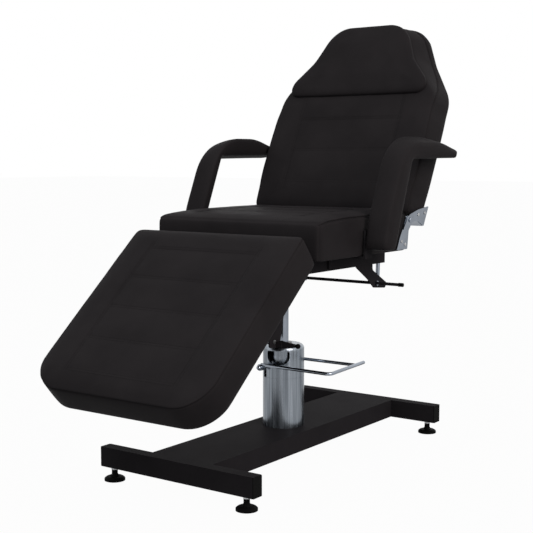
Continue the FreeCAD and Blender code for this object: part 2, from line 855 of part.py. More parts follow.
def side_plate_back():
    """The chrome arch on the backrest's lower corner, with a flange under it."""
    y, z = BACK_PIVOT
    points = [
        (219, 731),
        (257, 731),
        (275, 751),
        (306, 760),
        (356, 737),
        (390, 801),
        (316, 792),
        (254, 777),
    ]
    radii = [3, 10, 30, 60, 3, 3, 120, 40]
    plate = slab_x(points, radii, SIDE_BACK_X0, SIDE_BACK_X1)
    cuts = [rod_x(SIDE_BACK_X0 - 1, SIDE_BACK_X1 + 1, y, z, RIVET_R + RUN)]
    for sy, sz in BACK_PLATE_SCREWS:
        cuts.append(rod_x(SIDE_BACK_X0 - 1, SIDE_BACK_X1 + 1, sy, sz, SCREW_R + RUN))
    plate = plate.cut(cuts)
    flange = back_place(box(FLANGE_IN_X, SIDE_BACK_X0 + 1, -FLANGE_T - 0.6, -0.6, -2, FLANGE_REACH))
    return fuse([plate, flange])


def side_rivet():
    y, z = BACK_PIVOT
    shank = rod_x(SIDE_SEAT_X0, SIDE_BACK_X1 + SOFT_GAP, y, z, RIVET_R)
    x0 = SIDE_BACK_X1 + SOFT_GAP
    head = rod_x(x0, x0 + RIVET_HEAD_H, y, z, RIVET_HEAD_R)
    edge = [e for e in head.Edges if e.BoundBox.XMin > x0 + RIVET_HEAD_H - 1]
    return fuse([shank, head.makeFillet(2, edge)])


def side_screws(places, x0, x1):
    made = []
    for y, z in places:
        shank = rod_x(x0 - 1, x1, y, z, SCREW_R)
        head = rod_x(x1, x1 + SCREW_HEAD_H, y, z, SCREW_HEAD_R)
        edge = [e for e in head.Edges if e.BoundBox.XMin > x1 + SCREW_HEAD_H - 1]
        made.append(fuse([shank, head.makeFillet(1.2, edge)]))
    return made


def rear_drop_plate():
    points = [
        (150, RAIL_Z0),
        (228, 564),
        (268, 532),
        (342, 525),
        (354, 541),
        (258, 592),
        (258, RAIL_Z0),
    ]
    radii = [2, 10, 10, 10, 7, 12, 2]
    plate = slab_x(points, radii, DROP_X0, DROP_X1)
    y, z = BACK_STRUT["low"]
    cuts = [
        rod_x(DROP_X0 - 1, DROP_X1 + 1, LOCK_Y, LOCK_Z, LOCK_R + 1.5),
        rod_x(DROP_X0 - 1, DROP_X1 + 1, y, z, STRUT_PIN_R + RUN),
    ]
    return plate.cut(cuts)


def front_drop_plate():
    points = [
        (-262, RAIL_Z0),
        (-330, 436),
        (-326, 412),
        (-278, 408),
        (-230, RAIL_Z0),
    ]
    radii = [2, 14, 8, 8, 2]
    plate = slab_x(points, radii, DROP_X0, DROP_X1)
    y, z = LEG_STRUT["low"]
    return plate.cut(rod_x(DROP_X0 - 1, DROP_X1 + 1, y, z, STRUT_PIN_R + RUN))


def strut_stub(strut):
    """The pin on a drop plate that carries a strut's lower eye."""
    x = strut["x"]
    y, z = strut["low"]
    collar = rod_x(x + EYE_HALF_W + SOFT_GAP, DROP_X0, y, z, STRUT_HEAD_R)
    shank = rod_x(DROP_X0 - 1, DROP_X1 + 1, y, z, STRUT_PIN_R)
    head = rod_x(DROP_X1, DROP_X1 + STRUT_HEAD_H, y, z, STRUT_HEAD_R)
    return fuse([collar, shank, head])


def strut_top_pin(strut):
    x = strut["x"]
    y, z = strut["high"]
    reach = LUG_HALF_W + FORK_GAP + FORK_T
    shank = rod_x(x - reach - 1, x + reach + 1, y, z, STRUT_PIN_R)
    near = rod_x(x - reach - STRUT_HEAD_H, x - reach, y, z, STRUT_HEAD_R)
    far = rod_x(x + reach, x + reach + STRUT_HEAD_H, y, z, STRUT_HEAD_R)
    return fuse([shank, near, far])


def strut_axis(strut):
    start = V(strut["x"], strut["low"][0], strut["low"][1])
    way = V(strut["x"], strut["high"][0], strut["high"][1]) - start
    length = way.Length
    way.normalize()
    return start, way, length


def strut_rod(strut, overlap):
    """The polished rod with its lower eye and the eye's own short pin."""
    start, way, length = strut_axis(strut)
    x = strut["x"]
    y, z = strut["low"]
    eye = rod_x(x - EYE_HALF_W, x + EYE_HALF_W, y, z, EYE_R)
    head = rod_x(x - EYE_HALF_W - STRUT_HEAD_H, x - EYE_HALF_W, y, z, STRUT_HEAD_R)
    size = length - FORK_REACH - strut["tube"] + overlap
    body = Part.makeCylinder(STRUT_ROD_R, size, start, way)
    return fuse([eye, head, body])


def strut_tube(strut):
    """The tube that slides on the rod, with a fork over the upper lug."""
    start, way, length = strut_axis(strut)
    x = strut["x"]
    y, z = strut["high"]
    size = strut["tube"]
    begin = start + way * (length - FORK_REACH - size)
    tube = Part.makeCylinder(STRUT_TUBE_R, size, begin, way)
    bore = Part.makeCylinder(STRUT_ROD_R + RUN, size - 3, begin - way, way)
    inner = LUG_HALF_W + FORK_GAP
    outer = inner + FORK_T
    neck = Part.makeCylinder(outer, 6, begin + way * (size - 3), way)
    foot = begin + way * (size + 2)
    across = V(0, -way.z, way.y) * FORK_R
    parts = [tube.cut(bore), neck]
    for x0 in (x - outer, x + inner):
        low = V(x0, foot.y, foot.z)
        high = V(x0, y, z)
        points = [high + across, high - across, low - across, low + across]
        face = Part.Face(Part.makePolygon(points + [points[0]]))
        parts.append(face.extrude(V(FORK_T, 0, 0)))
        parts.append(rod_x(x0, x0 + FORK_T, y, z, FORK_R))
    hole = rod_x(x - outer - 1, x + outer + 1, y, z, STRUT_PIN_R + RUN)
    return fuse(parts).cut(hole)


def lock_rod():
    rod_part = rod_x(LOCK_FAR, LOCK_END, LOCK_Y, LOCK_Z, LOCK_R)
    stop = rod_x(LOCK_FAR + 2, LOCK_FAR + 5, LOCK_Y, LOCK_Z, LOCK_R + 2)
    return fuse([rod_part, stop])


def lock_knob():
    knob = rod_x(LOCK_END, LOCK_END + LOCK_KNOB_L, LOCK_Y, LOCK_Z, LOCK_KNOB_R)
    return knob.makeFillet(1.5, [e for e in knob.Edges if e.Closed])


def lock_bush():
    x0 = DROP_X0 - 1
    x1 = DROP_X1 + BUSH_L
    collar = rod_x(DROP_X1, x1, LOCK_Y, LOCK_Z, BUSH_R)
    sleeve = rod_x(x0, x1, LOCK_Y, LOCK_Z, LOCK_R + 1.45)
    return fuse([collar, sleeve]).cut(rod_x(x0 - 1, x1 + 1, LOCK_Y, LOCK_Z, LOCK_R + RUN))


def lever_bracket():
    cheeks = []
    for y0 in (LEVER_Y - LEVER_HALF_T - 3.5, LEVER_Y + LEVER_HALF_T + 0.5):
        cheeks.append(box(DROP_X1, LEVER_X + 6, y0, y0 + 3, LEVER_Z - 8, LEVER_Z + 8))
    reach = LEVER_HALF_T + 3.5
    pin = rod_y(LEVER_X, LEVER_Z, LEVER_Y - reach, LEVER_Y + reach, LEVER_PIN_R)
    return fuse(cheeks + [pin])


def release_lever():
    y0 = LEVER_Y - LEVER_HALF_T
    hub = rod_y(LEVER_X, LEVER_Z, y0, LEVER_Y + LEVER_HALF_T, LEVER_HUB_R)
    points = [
        V(LEVER_X, y0, LEVER_Z - LEVER_HUB_R),
        V(LEVER_END_X, y0, LEVER_Z - 4),
        V(LEVER_END_X, y0, LEVER_Z + 4),
        V(LEVER_X + 4, y0, LEVER_Z + LEVER_HUB_R - 1),
    ]
    arm = Part.Face(Part.makePolygon(points + [points[0]])).extrude(V(0, 2 * LEVER_HALF_T, 0))
    hole = rod_y(LEVER_X, LEVER_Z, LEVER_Y - 20, LEVER_Y + 20, LEVER_PIN_R + RUN)
    return fuse([hub, arm]).cut(hole)


def lever_knob():
    ball = Part.makeSphere(LEVER_KNOB_R, V(LEVER_END_X + LEVER_KNOB_R - 1, LEVER_Y, LEVER_Z))
    flat = box(LEVER_END_X - 20, LEVER_END_X, LEVER_Y - 20, LEVER_Y + 20, 300, 500)
    return ball.cut(flat)


def arm_outline(rear_low_y, rear_top_y, under_z, tip_y):
    """The arm seen from its side: a sloping post with a long pad growing out of it."""
    points = [
        (ARM_FRONT_Y, ARM_LOW_Z),
        (rear_low_y, ARM_LOW_Z),
        (rear_top_y, under_z),
        (tip_y - ARM_TIP_SLOPE, under_z + 2),
        (tip_y, ARM_TIP_Z),
        (ARM_SHOULDER_Y, ARM_TOP_Z),
        (ARM_BROW_Y, ARM_TOP_Z),
        (ARM_WAIST[0], ARM_WAIST[1]),
    ]
    return points, ARM_RADII


def arm_section(x, outline, inset):
    points, radii = inset_outline(outline[0], outline[1], inset)
    return rounded_wire(points, radii, lambda p: V(x, p.x, p.y))


def arm_pad():
    inner = arm_outline(*ARM_INNER)
    middle = arm_outline(*ARM_MIDDLE)
    outer = arm_outline(*ARM_OUTER)
    wires = [
        arm_section(ARM_X0, inner, ARM_INSET),
        arm_section(ARM_X0 + ARM_EDGE, inner, ARM_INSET / 3),
        arm_section((ARM_X0 + ARM_X1) / 2, middle, 0),
        arm_section(ARM_X1 - ARM_EDGE, outer, ARM_INSET / 3),
        arm_section(ARM_X1, outer, ARM_INSET),
    ]
    return Part.makeLoft(wires, True, False)


def arm_bracket():
    """A black steel bracket from under the seat board out to the arm's foot."""
    y0, y1 = ARM_BRACKET_Y
    z1 = RAIL_Z1 - 1
    under = box(RAIL_X1, ARM_BRACKET_X1, y0, y1, z1 - ARM_BRACKET_T, z1)
    upright = box(ARM_BRACKET_X0, ARM_BRACKET_X1, y0, y1, z1 - ARM_BRACKET_T, ARM_BRACKET_TOP)
    flank = box(RAIL_X1, RAIL_X1 + ARM_BRACKET_T, y0, y1, RAIL_Z0 + ARM_BRACKET_T, z1)
    whole = fuse([under, upright, flank])
    cuts = []
    for z in ARM_BOLT_Z:
        x0 = ARM_BRACKET_X0 - 1
        cuts.append(rod_x(x0, ARM_BRACKET_X1 + 1, ARM_BOLT_Y, z, ARM_BOLT_R + RUN))
    return whole.cut(cuts)


def arm_bolts():
    """Bolts with a spacer ring between the bracket and the arm."""
    made = []
    end = ARM_X0 - SOFT_GAP
    for z in ARM_BOLT_Z:
        shank = rod_x(ARM_BRACKET_X0 - 1, end, ARM_BOLT_Y, z, ARM_BOLT_R)
        head_x = ARM_BRACKET_X0 - ARM_BOLT_HEAD_H
        head = rod_x(head_x, ARM_BRACKET_X0, ARM_BOLT_Y, z, ARM_BOLT_HEAD_R)
        spacer = rod_x(ARM_BRACKET_X1, end, ARM_BOLT_Y, z, ARM_BOLT_HEAD_R + 1)
        made.append(fuse([shank, head, spacer]))
    return made


def padded_section(outline_at, thickness, cuts, tilt, origin):
    """A cushion and its board, set to the slope of their section."""
    points, radii = outline_at(0)
    pad = upholstered(outline_at, thickness, cuts)
    board = board_form(points, radii, BOARD_INSET, SOFT_GAP, BOARD_T)
    return tilted(pad, tilt, origin), tilted(board, tilt, origin)


def seat_channels():
    cuts = grooves_along(SEAT_Y0 + SIDE_CHANNEL_END, SEAT_Y1 - SIDE_CHANNEL_END, SEAT_T)
    first = (SEAT_Y0 + SEAT_Y1) / 2 - GROOVE_STEP * (SEAT_CHANNELS - 1) / 2
    for i in range(SEAT_CHANNELS):
        cuts.append(groove_across(first + i * GROOVE_STEP, SEAT_T))
    return cuts


def leg_channels():
    cuts = grooves_along(-LEG_L + SIDE_CHANNEL_END, -SIDE_CHANNEL_END, LEG_T)
    for i in range(LEG_CHANNELS):
        cuts.append(groove_across(LEG_CHANNEL_Y - i * GROOVE_STEP, LEG_T))
    return cuts


def back_channels():
    cuts = grooves_along(SIDE_CHANNEL_END, PILLOW_V0, BACK_T)
    for i in range(BACK_CHANNELS):
        cuts.append(groove_across(BACK_CHANNEL_Y + i * GROOVE_STEP, BACK_T))
    return cuts


def boards_and_cushions():
    made = {}
    pad, board = padded_section(seat_outline, SEAT_T, seat_channels(), 0, (0, RAIL_Z1))
    made["seat_cushion"] = pad
    made["seat_board"] = board
    pad, board = padded_section(leg_outline, LEG_T, leg_channels(), LEG_TILT, LEG_ORIGIN)
    made["leg_cushion"] = pad
    made["leg_board"] = board
    pad, board = padded_section(back_outline, BACK_T, back_channels(), BACK_TILT, BACK_ORIGIN)
    made["back_cushion"] = pad
    made["back_board"] = board
    base = BACK_T + CROWN + SOFT_GAP
    levels = [(base + PILLOW_T * share, inset) for share, inset in PILLOW_EDGE]
    made["head_pillow"] = back_place(soft_form(pillow_outline, levels))
    return made


def strut_parts():
    stubs = both_sides(strut_stub(BACK_STRUT)).Solids + both_sides(strut_stub(LEG_STRUT)).Solids
    made = {"strut_stub_pins": Part.makeCompound(stubs)}
    for kind, strut in (("back", BACK_STRUT), ("leg", LEG_STRUT)):
        made[kind + "_strut_rods"] = both_sides(strut_rod(strut, STRUT_OVERLAP[kind]))
        made[kind + "_strut_tubes"] = both_sides(strut_tube(strut))
        made[kind + "_strut_top_pins"] = both_sides(strut_top_pin(strut))
    lug = strut_lug(BACK_STRUT, BACK_ORIGIN, BACK_TILT, 8, 56)
    made["back_strut_lugs"] = both_sides(lug)
    lug = strut_lug(LEG_STRUT, LEG_ORIGIN, LEG_TILT, -102, -50)
    made["leg_strut_lugs"] = both_sides(lug)
    return made


def build_all():
    made = {}
    made["base_beam"] = base_beam()
    made["front_cross_tube"] = cross_tube(-TUBE_Y)
    made["rear_cross_tube"] = cross_tube(TUBE_Y)
    caps = []
    nuts = []
    for name, (x, y) in foot_places().items():
        made["levelling_foot_" + name] = levelling_foot(x, y)
        caps.append(end_cap(1 if x > 0 else -1, y))
        nuts.append(lock_nut(x, y))
    made["tube_end_caps"] = Part.makeCompound(caps)
    made["foot_nuts"] = Part.makeCompound(nuts)
    made["pump_skirt"] = pump_skirt()
    made["pump_housing"] = pump_housing()
    made["pump_body"] = pump_body()
    made["pump_gland"] = gland()
    made["pump_flange_bolts"] = flange_bolts()
    made["pedal_loop"] = pedal_loop()
    made["pedal_shaft"] = pedal_shaft()
    made["piston"] = piston()
    rail = seat_rail()
    made["seat_rail_left"] = rail
    made["seat_rail_right"] = mirrored(rail)
    made["seat_front_crossbar"] = seat_crossbar(RAIL_Y0 + CROSS_D / 2)
    made["seat_rear_crossbar"] = seat_crossbar(REAR_CROSS_Y + CROSS_D / 2)
    made["seat_mount"] = seat_mount()
    made["leg_hinge_lugs"] = both_sides(seat_hinge_lug())
    made["leg_hinge_pins"] = both_sides(leg_hinge_pin())
    made["leg_frame"] = leg_frame()
    made["back_frame"] = back_frame()
    made.update(boards_and_cushions())
    made.update(strut_parts())
    made["seat_hinge_plates"] = both_sides(side_plate_seat())
    made["back_hinge_plates"] = both_sides(side_plate_back())
    made["hinge_rivets"] = both_sides(side_rivet())
    screws = side_screws(SEAT_PLATE_SCREWS, SIDE_SEAT_X0, SIDE_SEAT_X1)
    made["seat_plate_screws"] = Part.makeCompound(screws + [mirrored(s) for s in screws])
    screws = side_screws(BACK_PLATE_SCREWS, SIDE_BACK_X0, SIDE_BACK_X1)
    made["back_plate_screws"] = Part.makeCompound(screws + [mirrored(s) for s in screws])
    made["rear_drop_plates"] = both_sides(rear_drop_plate())
    made["front_drop_plates"] = both_sides(front_drop_plate())
    made["lock_rod"] = lock_rod()
    made["lock_knob"] = lock_knob()
    made["lock_bushes"] = both_sides(lock_bush())
    made["lever_bracket"] = lever_bracket()
    made["release_lever"] = release_lever()
    made["lever_knob"] = lever_knob()
    arm = arm_pad()
    made["arm_left"] = arm
    made["arm_right"] = mirrored(arm)
    made["arm_brackets"] = both_sides(arm_bracket())
    bolts = arm_bolts()
    made["arm_bolts"] = Part.makeCompound(bolts + [mirrored(b) for b in bolts])
    return made


for name, shape in build_all().items():
    shape.exportStep("parts/" + name + ".step")
    solids = shape.Solids
    print(name, len(solids), "solid(s)", round(sum(s.Volume for s in solids) / 1000), "cm3")
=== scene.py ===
# %% [markdown]
# # A reclining tattoo chair, from its frame to its stitches
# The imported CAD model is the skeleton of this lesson: beams, pump, hinges and gas springs.
# Blender adds what a maker adds last: the padded covers, their seams, and the finishes.
# Everything is in metres, +Z is up, and the foot end points to -Y.

# %% Load the frame
import bpy
import bmesh
import json
import math
import numpy as np
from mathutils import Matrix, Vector, noise
from mathutils.bvhtree import BVHTree


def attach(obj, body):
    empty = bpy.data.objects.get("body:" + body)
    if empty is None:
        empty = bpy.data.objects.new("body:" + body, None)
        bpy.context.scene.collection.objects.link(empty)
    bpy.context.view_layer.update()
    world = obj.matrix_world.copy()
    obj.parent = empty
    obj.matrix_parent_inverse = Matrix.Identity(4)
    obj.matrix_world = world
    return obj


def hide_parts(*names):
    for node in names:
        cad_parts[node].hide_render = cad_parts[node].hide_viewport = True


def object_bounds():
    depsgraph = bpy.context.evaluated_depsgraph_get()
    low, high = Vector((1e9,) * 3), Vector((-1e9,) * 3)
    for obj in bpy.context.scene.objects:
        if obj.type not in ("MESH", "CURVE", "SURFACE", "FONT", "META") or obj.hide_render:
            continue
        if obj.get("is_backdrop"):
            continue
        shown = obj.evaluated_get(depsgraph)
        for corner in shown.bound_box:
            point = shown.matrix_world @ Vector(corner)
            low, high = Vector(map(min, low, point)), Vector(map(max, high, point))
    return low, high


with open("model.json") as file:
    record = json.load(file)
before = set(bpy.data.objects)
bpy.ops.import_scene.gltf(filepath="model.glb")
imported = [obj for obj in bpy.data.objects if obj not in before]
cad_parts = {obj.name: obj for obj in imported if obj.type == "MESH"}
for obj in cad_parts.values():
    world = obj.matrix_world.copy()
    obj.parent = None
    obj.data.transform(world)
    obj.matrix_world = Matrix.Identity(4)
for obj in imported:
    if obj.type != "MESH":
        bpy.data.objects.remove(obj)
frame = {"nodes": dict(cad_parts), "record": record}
nodes = frame["nodes"]
cad_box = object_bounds()
mm = 0.001
print("nodes", len(nodes), "box", [round(v, 3) for v in cad_box[0]], [round(v, 3) for v in cad_box[1]])

# %% [markdown]
# ## The camera
# The chair is seen from its foot end, a little to its left side, at the height of the arms.
# A long lens keeps the lines nearly parallel, as in a catalogue picture. The numbers come from
# a perspective fitted to the base tubes and the three pads.

# %% Camera
LENS, SENSOR = 74.62, 36
CAMERA_PLACE = (2.0048, -2.8942, 0.9594)
CAMERA_DIP, CAMERA_TURN = 5.610, 35.607
scene = bpy.context.scene


def new_piece(name, data):
    piece = bpy.data.objects.new(name, data)
    scene.collection.objects.link(piece)
    return piece


eye = bpy.data.cameras.new("camera")
eye.lens = LENS
eye.sensor_width = SENSOR
eye.clip_end = 200
camera = new_piece("camera", eye)
camera.location = CAMERA_PLACE
camera.rotation_euler = (math.radians(90 - CAMERA_DIP), 0, math.radians(CAMERA_TURN))
scene.camera = camera
scene.view_settings.view_transform = "Standard"
print("camera", tuple(round(v, 3) for v in camera.location), "lens", eye.lens)

# %% [markdown]
# ## Small helpers for materials
# A material here is a short chain of nodes: a pattern on Object coordinates, which stay with the
# piece when it moves, then a colour, a roughness and a bump made from that pattern.
# A helper for each link of the chain keeps the recipes short.

# %% Material helpers
def set_inputs(node, **values):
    """Sets a node's inputs by their names, with an underscore for each space."""
    for label, value in values.items():
        node.inputs[label.replace("_", " ")].default_value = value
    return node


def add_node(made, kind, **values):
    return set_inputs(made.node_tree.nodes.new("ShaderNode" + kind), **values)


def new_material(name, rough, metal=0.0, level=0.5):
    made = bpy.data.materials.new(name)
    made.use_nodes = True
    shader = made.node_tree.nodes["Principled BSDF"]
    set_inputs(shader, Roughness=rough, Metallic=metal, Specular_IOR_Level=level)
    return made, shader, add_node(made, "TexCoord").outputs["Object"]


def noise_of(made, place, scale, detail=3.0, rough=0.5):
    node = add_node(made, "TexNoise", Scale=scale, Detail=detail, Roughness=rough)
    made.node_tree.links.new(place, node.inputs["Vector"])
    return node.outputs["Fac"]


def remap(made, value, low, high):
    node = add_node(made, "MapRange", From_Min=0.3, From_Max=0.7, To_Min=low, To_Max=high)
    made.node_tree.links.new(value, node.inputs["Value"])
    return node.outputs["Result"]


def two_tone(made, value, dark, light, start, end):
    node = add_node(made, "ValToRGB")
    for stop, place, tone in zip(node.color_ramp.elements, (start, end), (dark, light)):
        stop.position = place
        stop.color = (*tone, 1)
    made.node_tree.links.new(value, node.inputs["Fac"])
    return node.outputs["Color"]


def coloured(made, shader, pattern, tones, roughness, start=0.35, end=0.65):
    """One pattern drives both the colour and the roughness."""
    link = made.node_tree.links.new
    link(two_tone(made, pattern, *tones, start, end), shader.inputs["Base Color"])
    link(remap(made, pattern, *roughness), shader.inputs["Roughness"])


def bump(made, shader, height, depth, strength, under=None):
    node = add_node(made, "Bump", Distance=depth, Strength=strength)
    made.node_tree.links.new(height, node.inputs["Height"])
    if under is not None:
        made.node_tree.links.new(under, node.inputs["Normal"])
    made.node_tree.links.new(node.outputs["Normal"], shader.inputs["Normal"])
    return node.outputs["Normal"]


def wire(tree, *wires):
    """Links sockets, each pair given as node, output, node, input."""
    for start, output, end, entry in wires:
        tree.links.new(start.outputs[output], end.inputs[entry])


print("helpers ready")

# %% [markdown]
# ## Leatherette
# The covers are coated cloth with a fine embossed grain, near black, with a soft sheen.
# The grain is a pebble pattern about a millimetre across. Voronoi cells give the pebbles, a
# little noise bends them so that they aren't a grid, and a wide slow noise makes the sheen uneven,
# as it is where hands and backs have rubbed it.

# %% Leatherette
PEBBLE_SCALE, CREASE_SCALE, WARP_SCALE, WEAR_SCALE = 780, 95, 260, 7
WARP_SHARE = 0.0012
LEATHER_TONES = (0.0152, 0.0138, 0.0149), (0.0190, 0.0173, 0.0185)


def leatherette(name, tones, roughness):
    made, shader, place = new_material(name, 0.5, level=0.012)
    tree = made.node_tree
    warp = add_node(made, "TexNoise", Scale=WARP_SCALE)
    bend = add_node(made, "Mix")
    bend.data_type = "VECTOR"
    set_inputs(bend, Factor=WARP_SHARE)
    pebbles = add_node(made, "TexVoronoi")
    pebbles.feature = "SMOOTH_F1"
    set_inputs(pebbles, Scale=PEBBLE_SCALE, Smoothness=0.35)
    tree.links.new(place, warp.inputs["Vector"])
    tree.links.new(place, bend.inputs[4])
    wire(tree, (warp, "Color", bend, 5), (bend, 1, pebbles, "Vector"))
    creases = noise_of(made, place, CREASE_SCALE, 4, 0.6)
    first = bump(made, shader, creases, 0.0006, 0.35)
    bump(made, shader, pebbles.outputs["Distance"], 0.0004, 0.4, under=first)
    coloured(made, shader, noise_of(made, place, WEAR_SCALE), tones, roughness)
    set_inputs(shader, Sheen_Weight=0.003, Sheen_Roughness=0.45)
    return made


cover_leather = leatherette("black_leatherette", LEATHER_TONES, (0.44, 0.56))
print("grain about", round(1000 / PEBBLE_SCALE, 2), "mm")

# %% [markdown]
# ## Powder coat, chrome, zinc and plastics
# Powder coat melts into a skin with a faint orange peel, so it gets a shallow bump and a low
# gloss. Chrome is a mirror with slight haze, zinc is duller and cloudy, and the pump's gland is
# painted grey. Moulded plastic has a fine even texture.

# %% Powder coat and bright metals
POWDER_TONES = (0.0168, 0.0156, 0.0174), (0.0196, 0.0183, 0.0203)
CHROME_TONES = (0.28, 0.31, 0.355), (0.36, 0.395, 0.45)
SLEEVE_TONES = (0.14, 0.158, 0.18), (0.40, 0.44, 0.49)
ZINC_TONES = (0.36, 0.37, 0.38), (0.52, 0.53, 0.54)
ALONG_TUBE = (1, 1, 0.02)


def powder_coat(name):
    made, shader, place = new_material(name, 0.5, level=0.005)
    bump(made, shader, noise_of(made, place, 420, 2), 0.0003, 0.30)
    coloured(made, shader, noise_of(made, place, 9, 4), POWDER_TONES, (0.46, 0.54))
    return made


def bright_metal(name, tones, roughness, scale):
    made, shader, place = new_material(name, roughness[0], metal=1.0)
    coloured(made, shader, noise_of(made, place, scale, 5, 0.6), tones, roughness)
    bump(made, shader, noise_of(made, place, 40, 2), 0.0001, 0.05)
    return made


def drawn_sleeve(name, tones, roughness):
    """Bright tube that keeps the upright streaks of its drawing die."""
    made, shader, place = new_material(name, roughness[0], metal=1.0)
    stretch = add_node(made, "Mapping", Scale=ALONG_TUBE)
    made.node_tree.links.new(place, stretch.inputs["Vector"])
    streaks = noise_of(made, stretch.outputs["Vector"], 110, 4, 0.65)
    coloured(made, shader, streaks, tones, roughness, 0.3, 0.7)
    bump(made, shader, streaks, 0.0002, 0.12)
    return made


powder = powder_coat("black_powder_coat")
chrome = bright_metal("chrome", CHROME_TONES, (0.05, 0.10), scale=14)
sleeve_chrome = drawn_sleeve("satin_chrome", SLEEVE_TONES, (0.20, 0.30))
zinc = bright_metal("zinc_plating", ZINC_TONES, (0.28, 0.42), scale=60)
print("metal finishes ready")

# %% Paint, plastic and board
PAINT_TONES = (0.24, 0.25, 0.27), (0.33, 0.34, 0.36)
PLASTIC_TONES = (0.003,) * 3, (0.005,) * 3
BOARD_TONES = (0.012, 0.011, 0.011), (0.022, 0.020, 0.019)
THREAD_TONES = (0.007,) * 3, (0.011,) * 3


def plain_finish(name, tones, roughness, scale, grain, depth, level=0.5):
    """Scale is that of the cloudy colour, grain that of the fine bump."""
    made, shader, place = new_material(name, roughness[0], level=level)
    coloured(made, shader, noise_of(made, place, scale, 4), tones, roughness)
    bump(made, shader, noise_of(made, place, grain, 3), depth, 0.35)
    return made


pump_paint = plain_finish("pump_grey_paint", PAINT_TONES, (0.35, 0.5), 22, 300, 0.0003)
plastic = plain_finish("black_plastic", PLASTIC_TONES, (0.52, 0.62), 16, 900, 0.0002, level=0.03)
board_black = plain_finish("stained_board", BOARD_TONES, (0.7, 0.85), 12, 700, 0.0004, level=0.3)
thread = plain_finish("black_thread", THREAD_TONES, (0.7, 0.8), 90, 2600, 0.0002, level=0.02)
print("paint, plastic, board and thread ready")

# %% [markdown]
# ## The finishes go onto the metalwork
# The record gives each CAD node a finish slot, so one table from slot to material dresses the
# whole frame. The pump's two sleeves and the body inside them keep the streaks of drawn tube, so
# they get the satin chrome.

# %% Dress the CAD nodes
finish_of_slot = {
    "black_steel": powder,
    "chrome": chrome,
    "zinc_steel": zinc,
    "pump_steel": pump_paint,
    "black_plastic": plastic,
    "black_leatherette": cover_leather,
    "board": board_black,
}
special_finish = {name: sleeve_chrome for name in ("pump_skirt", "pump_housing", "pump_body")}
for part in frame["record"]["subparts"]:
    piece = nodes[part["node"]]
    finish = special_finish.get(piece.name, finish_of_slot[part["material_slot"]])
    piece.data.materials.clear()
    piece.data.materials.append(finish)

# %% [markdown]
# ## Outlines of the pads
# Each pad starts as a flat outline: straight edges with an arc at every corner. The same outline
# moved inwards gives the drawn-in lower edge and the rounded upper edge. Rings at several heights
# make the side wall, and a net of rows and columns closes the top.

# %% Outline helpers
SMALLEST_BEND = 4


def drawn_in(corners, radii, by):
    """The outline moved inwards; corners run anticlockwise."""
    moved, bends = [], []
    for i, (px, py) in enumerate(corners):
        ax, ay = corners[i - 1]
        bx, by_ = corners[(i + 1) % len(corners)]
        u = Vector((px - ax, py - ay)).normalized()
        v = Vector((bx - px, by_ - py)).normalized()
        along = 1 + u.dot(v)
        moved.append((px - (u.y + v.y) / along * by, py + (u.x + v.x) / along * by))
        turns_left = u.x * v.y - u.y * v.x > 0
        bends.append(max(radii[i] - by, SMALLEST_BEND) if turns_left else radii[i] + by)
    return moved, bends


def traced(corners, radii, steps=12):
    """Points round the outline, and where the middle of each corner lies in that list."""
    points, middles = [], []
    for i, corner in enumerate(corners):
        here = Vector(corner)
        back = (Vector(corners[i - 1]) - here).normalized()
        ahead = (Vector(corners[(i + 1) % len(corners)]) - here).normalized()
        half = back.angle(ahead) / 2
        centre = here + (back + ahead).normalized() * (radii[i] / math.sin(half))
        start = here + back * (radii[i] / math.tan(half)) - centre
        end = here + ahead * (radii[i] / math.tan(half)) - centre
        sweep = start.angle_signed(end)
        middles.append(len(points) + steps // 2)
        for k in range(steps + 1):
            turn = -sweep * k / steps
            c, s = math.cos(turn), math.sin(turn)
            points.append((centre.x + start.x * c - start.y * s, centre.y + start.x * s + start.y * c))
    return np.array(points), middles


def between(points, first, last):
    """The points from one index to another, going on past the end of the list."""
    if last < first:
        last += len(points)
    return points[np.arange(first, last + 1) % len(points)]


square = traced([(-1, -1), (1, -1), (1, 1), (-1, 1)], [0.5] * 4)
print("a rounded square has", len(square[0]), "points, reach", square[0].max(0))

# %% [markdown]
# ## A net of rows and columns
# The sewing lines of a pad decide where the rows and columns lie: one line on the seam, so that it
# stays sharp, one each side of it close by, and even steps between. The four sides of an outline
# are then read at those steps, and the inside of the net is blended from them.

# %% Net helpers
STEP_SLACK = 0.2


def graded(low, high, seams, step, close):
    """Positions from low to high with a line on each seam and one close to it on both sides."""
    marks = {low, high}
    for seam in seams:
        marks.update((seam - close, seam, seam + close))
    marks = sorted(m for m in marks if low <= m <= high)
    lines = [marks[0]]
    for a, b in zip(marks, marks[1:]):
        count = max(1, math.ceil((b - a) / step - STEP_SLACK))
        lines += [a + (b - a) * (k + 1) / count for k in range(count)]
    return np.array(lines)


def four_sides(corners, radii, low_at, columns, rows):
    """The near, right, far and left sides of an outline, read at shares of its width and length."""
    points, middles = traced(corners, radii)
    low_left, low_right, top_right, top_left = [middles[i] for i in low_at]
    near = between(points, low_left, low_right)
    right = between(points, low_right, top_right)
    far = between(points, top_right, top_left)[::-1]
    left = between(points, top_left, low_left)[::-1]

    def along(side, axis, shares):
        key = side[:, axis]
        at = key[0] + (key[-1] - key[0]) * shares
        order = np.argsort(key, kind="stable")
        other = np.interp(at, key[order], side[order, 1 - axis])
        return np.column_stack((at, other) if axis == 0 else (other, at))

    return along(near, 0, columns), along(right, 1, rows), along(far, 0, columns), along(left, 1, rows)


def loop_of(sides):
    near, right, far, left = sides
    return np.vstack((near, right[1:], far[::-1][1:], left[::-1][1:-1]))


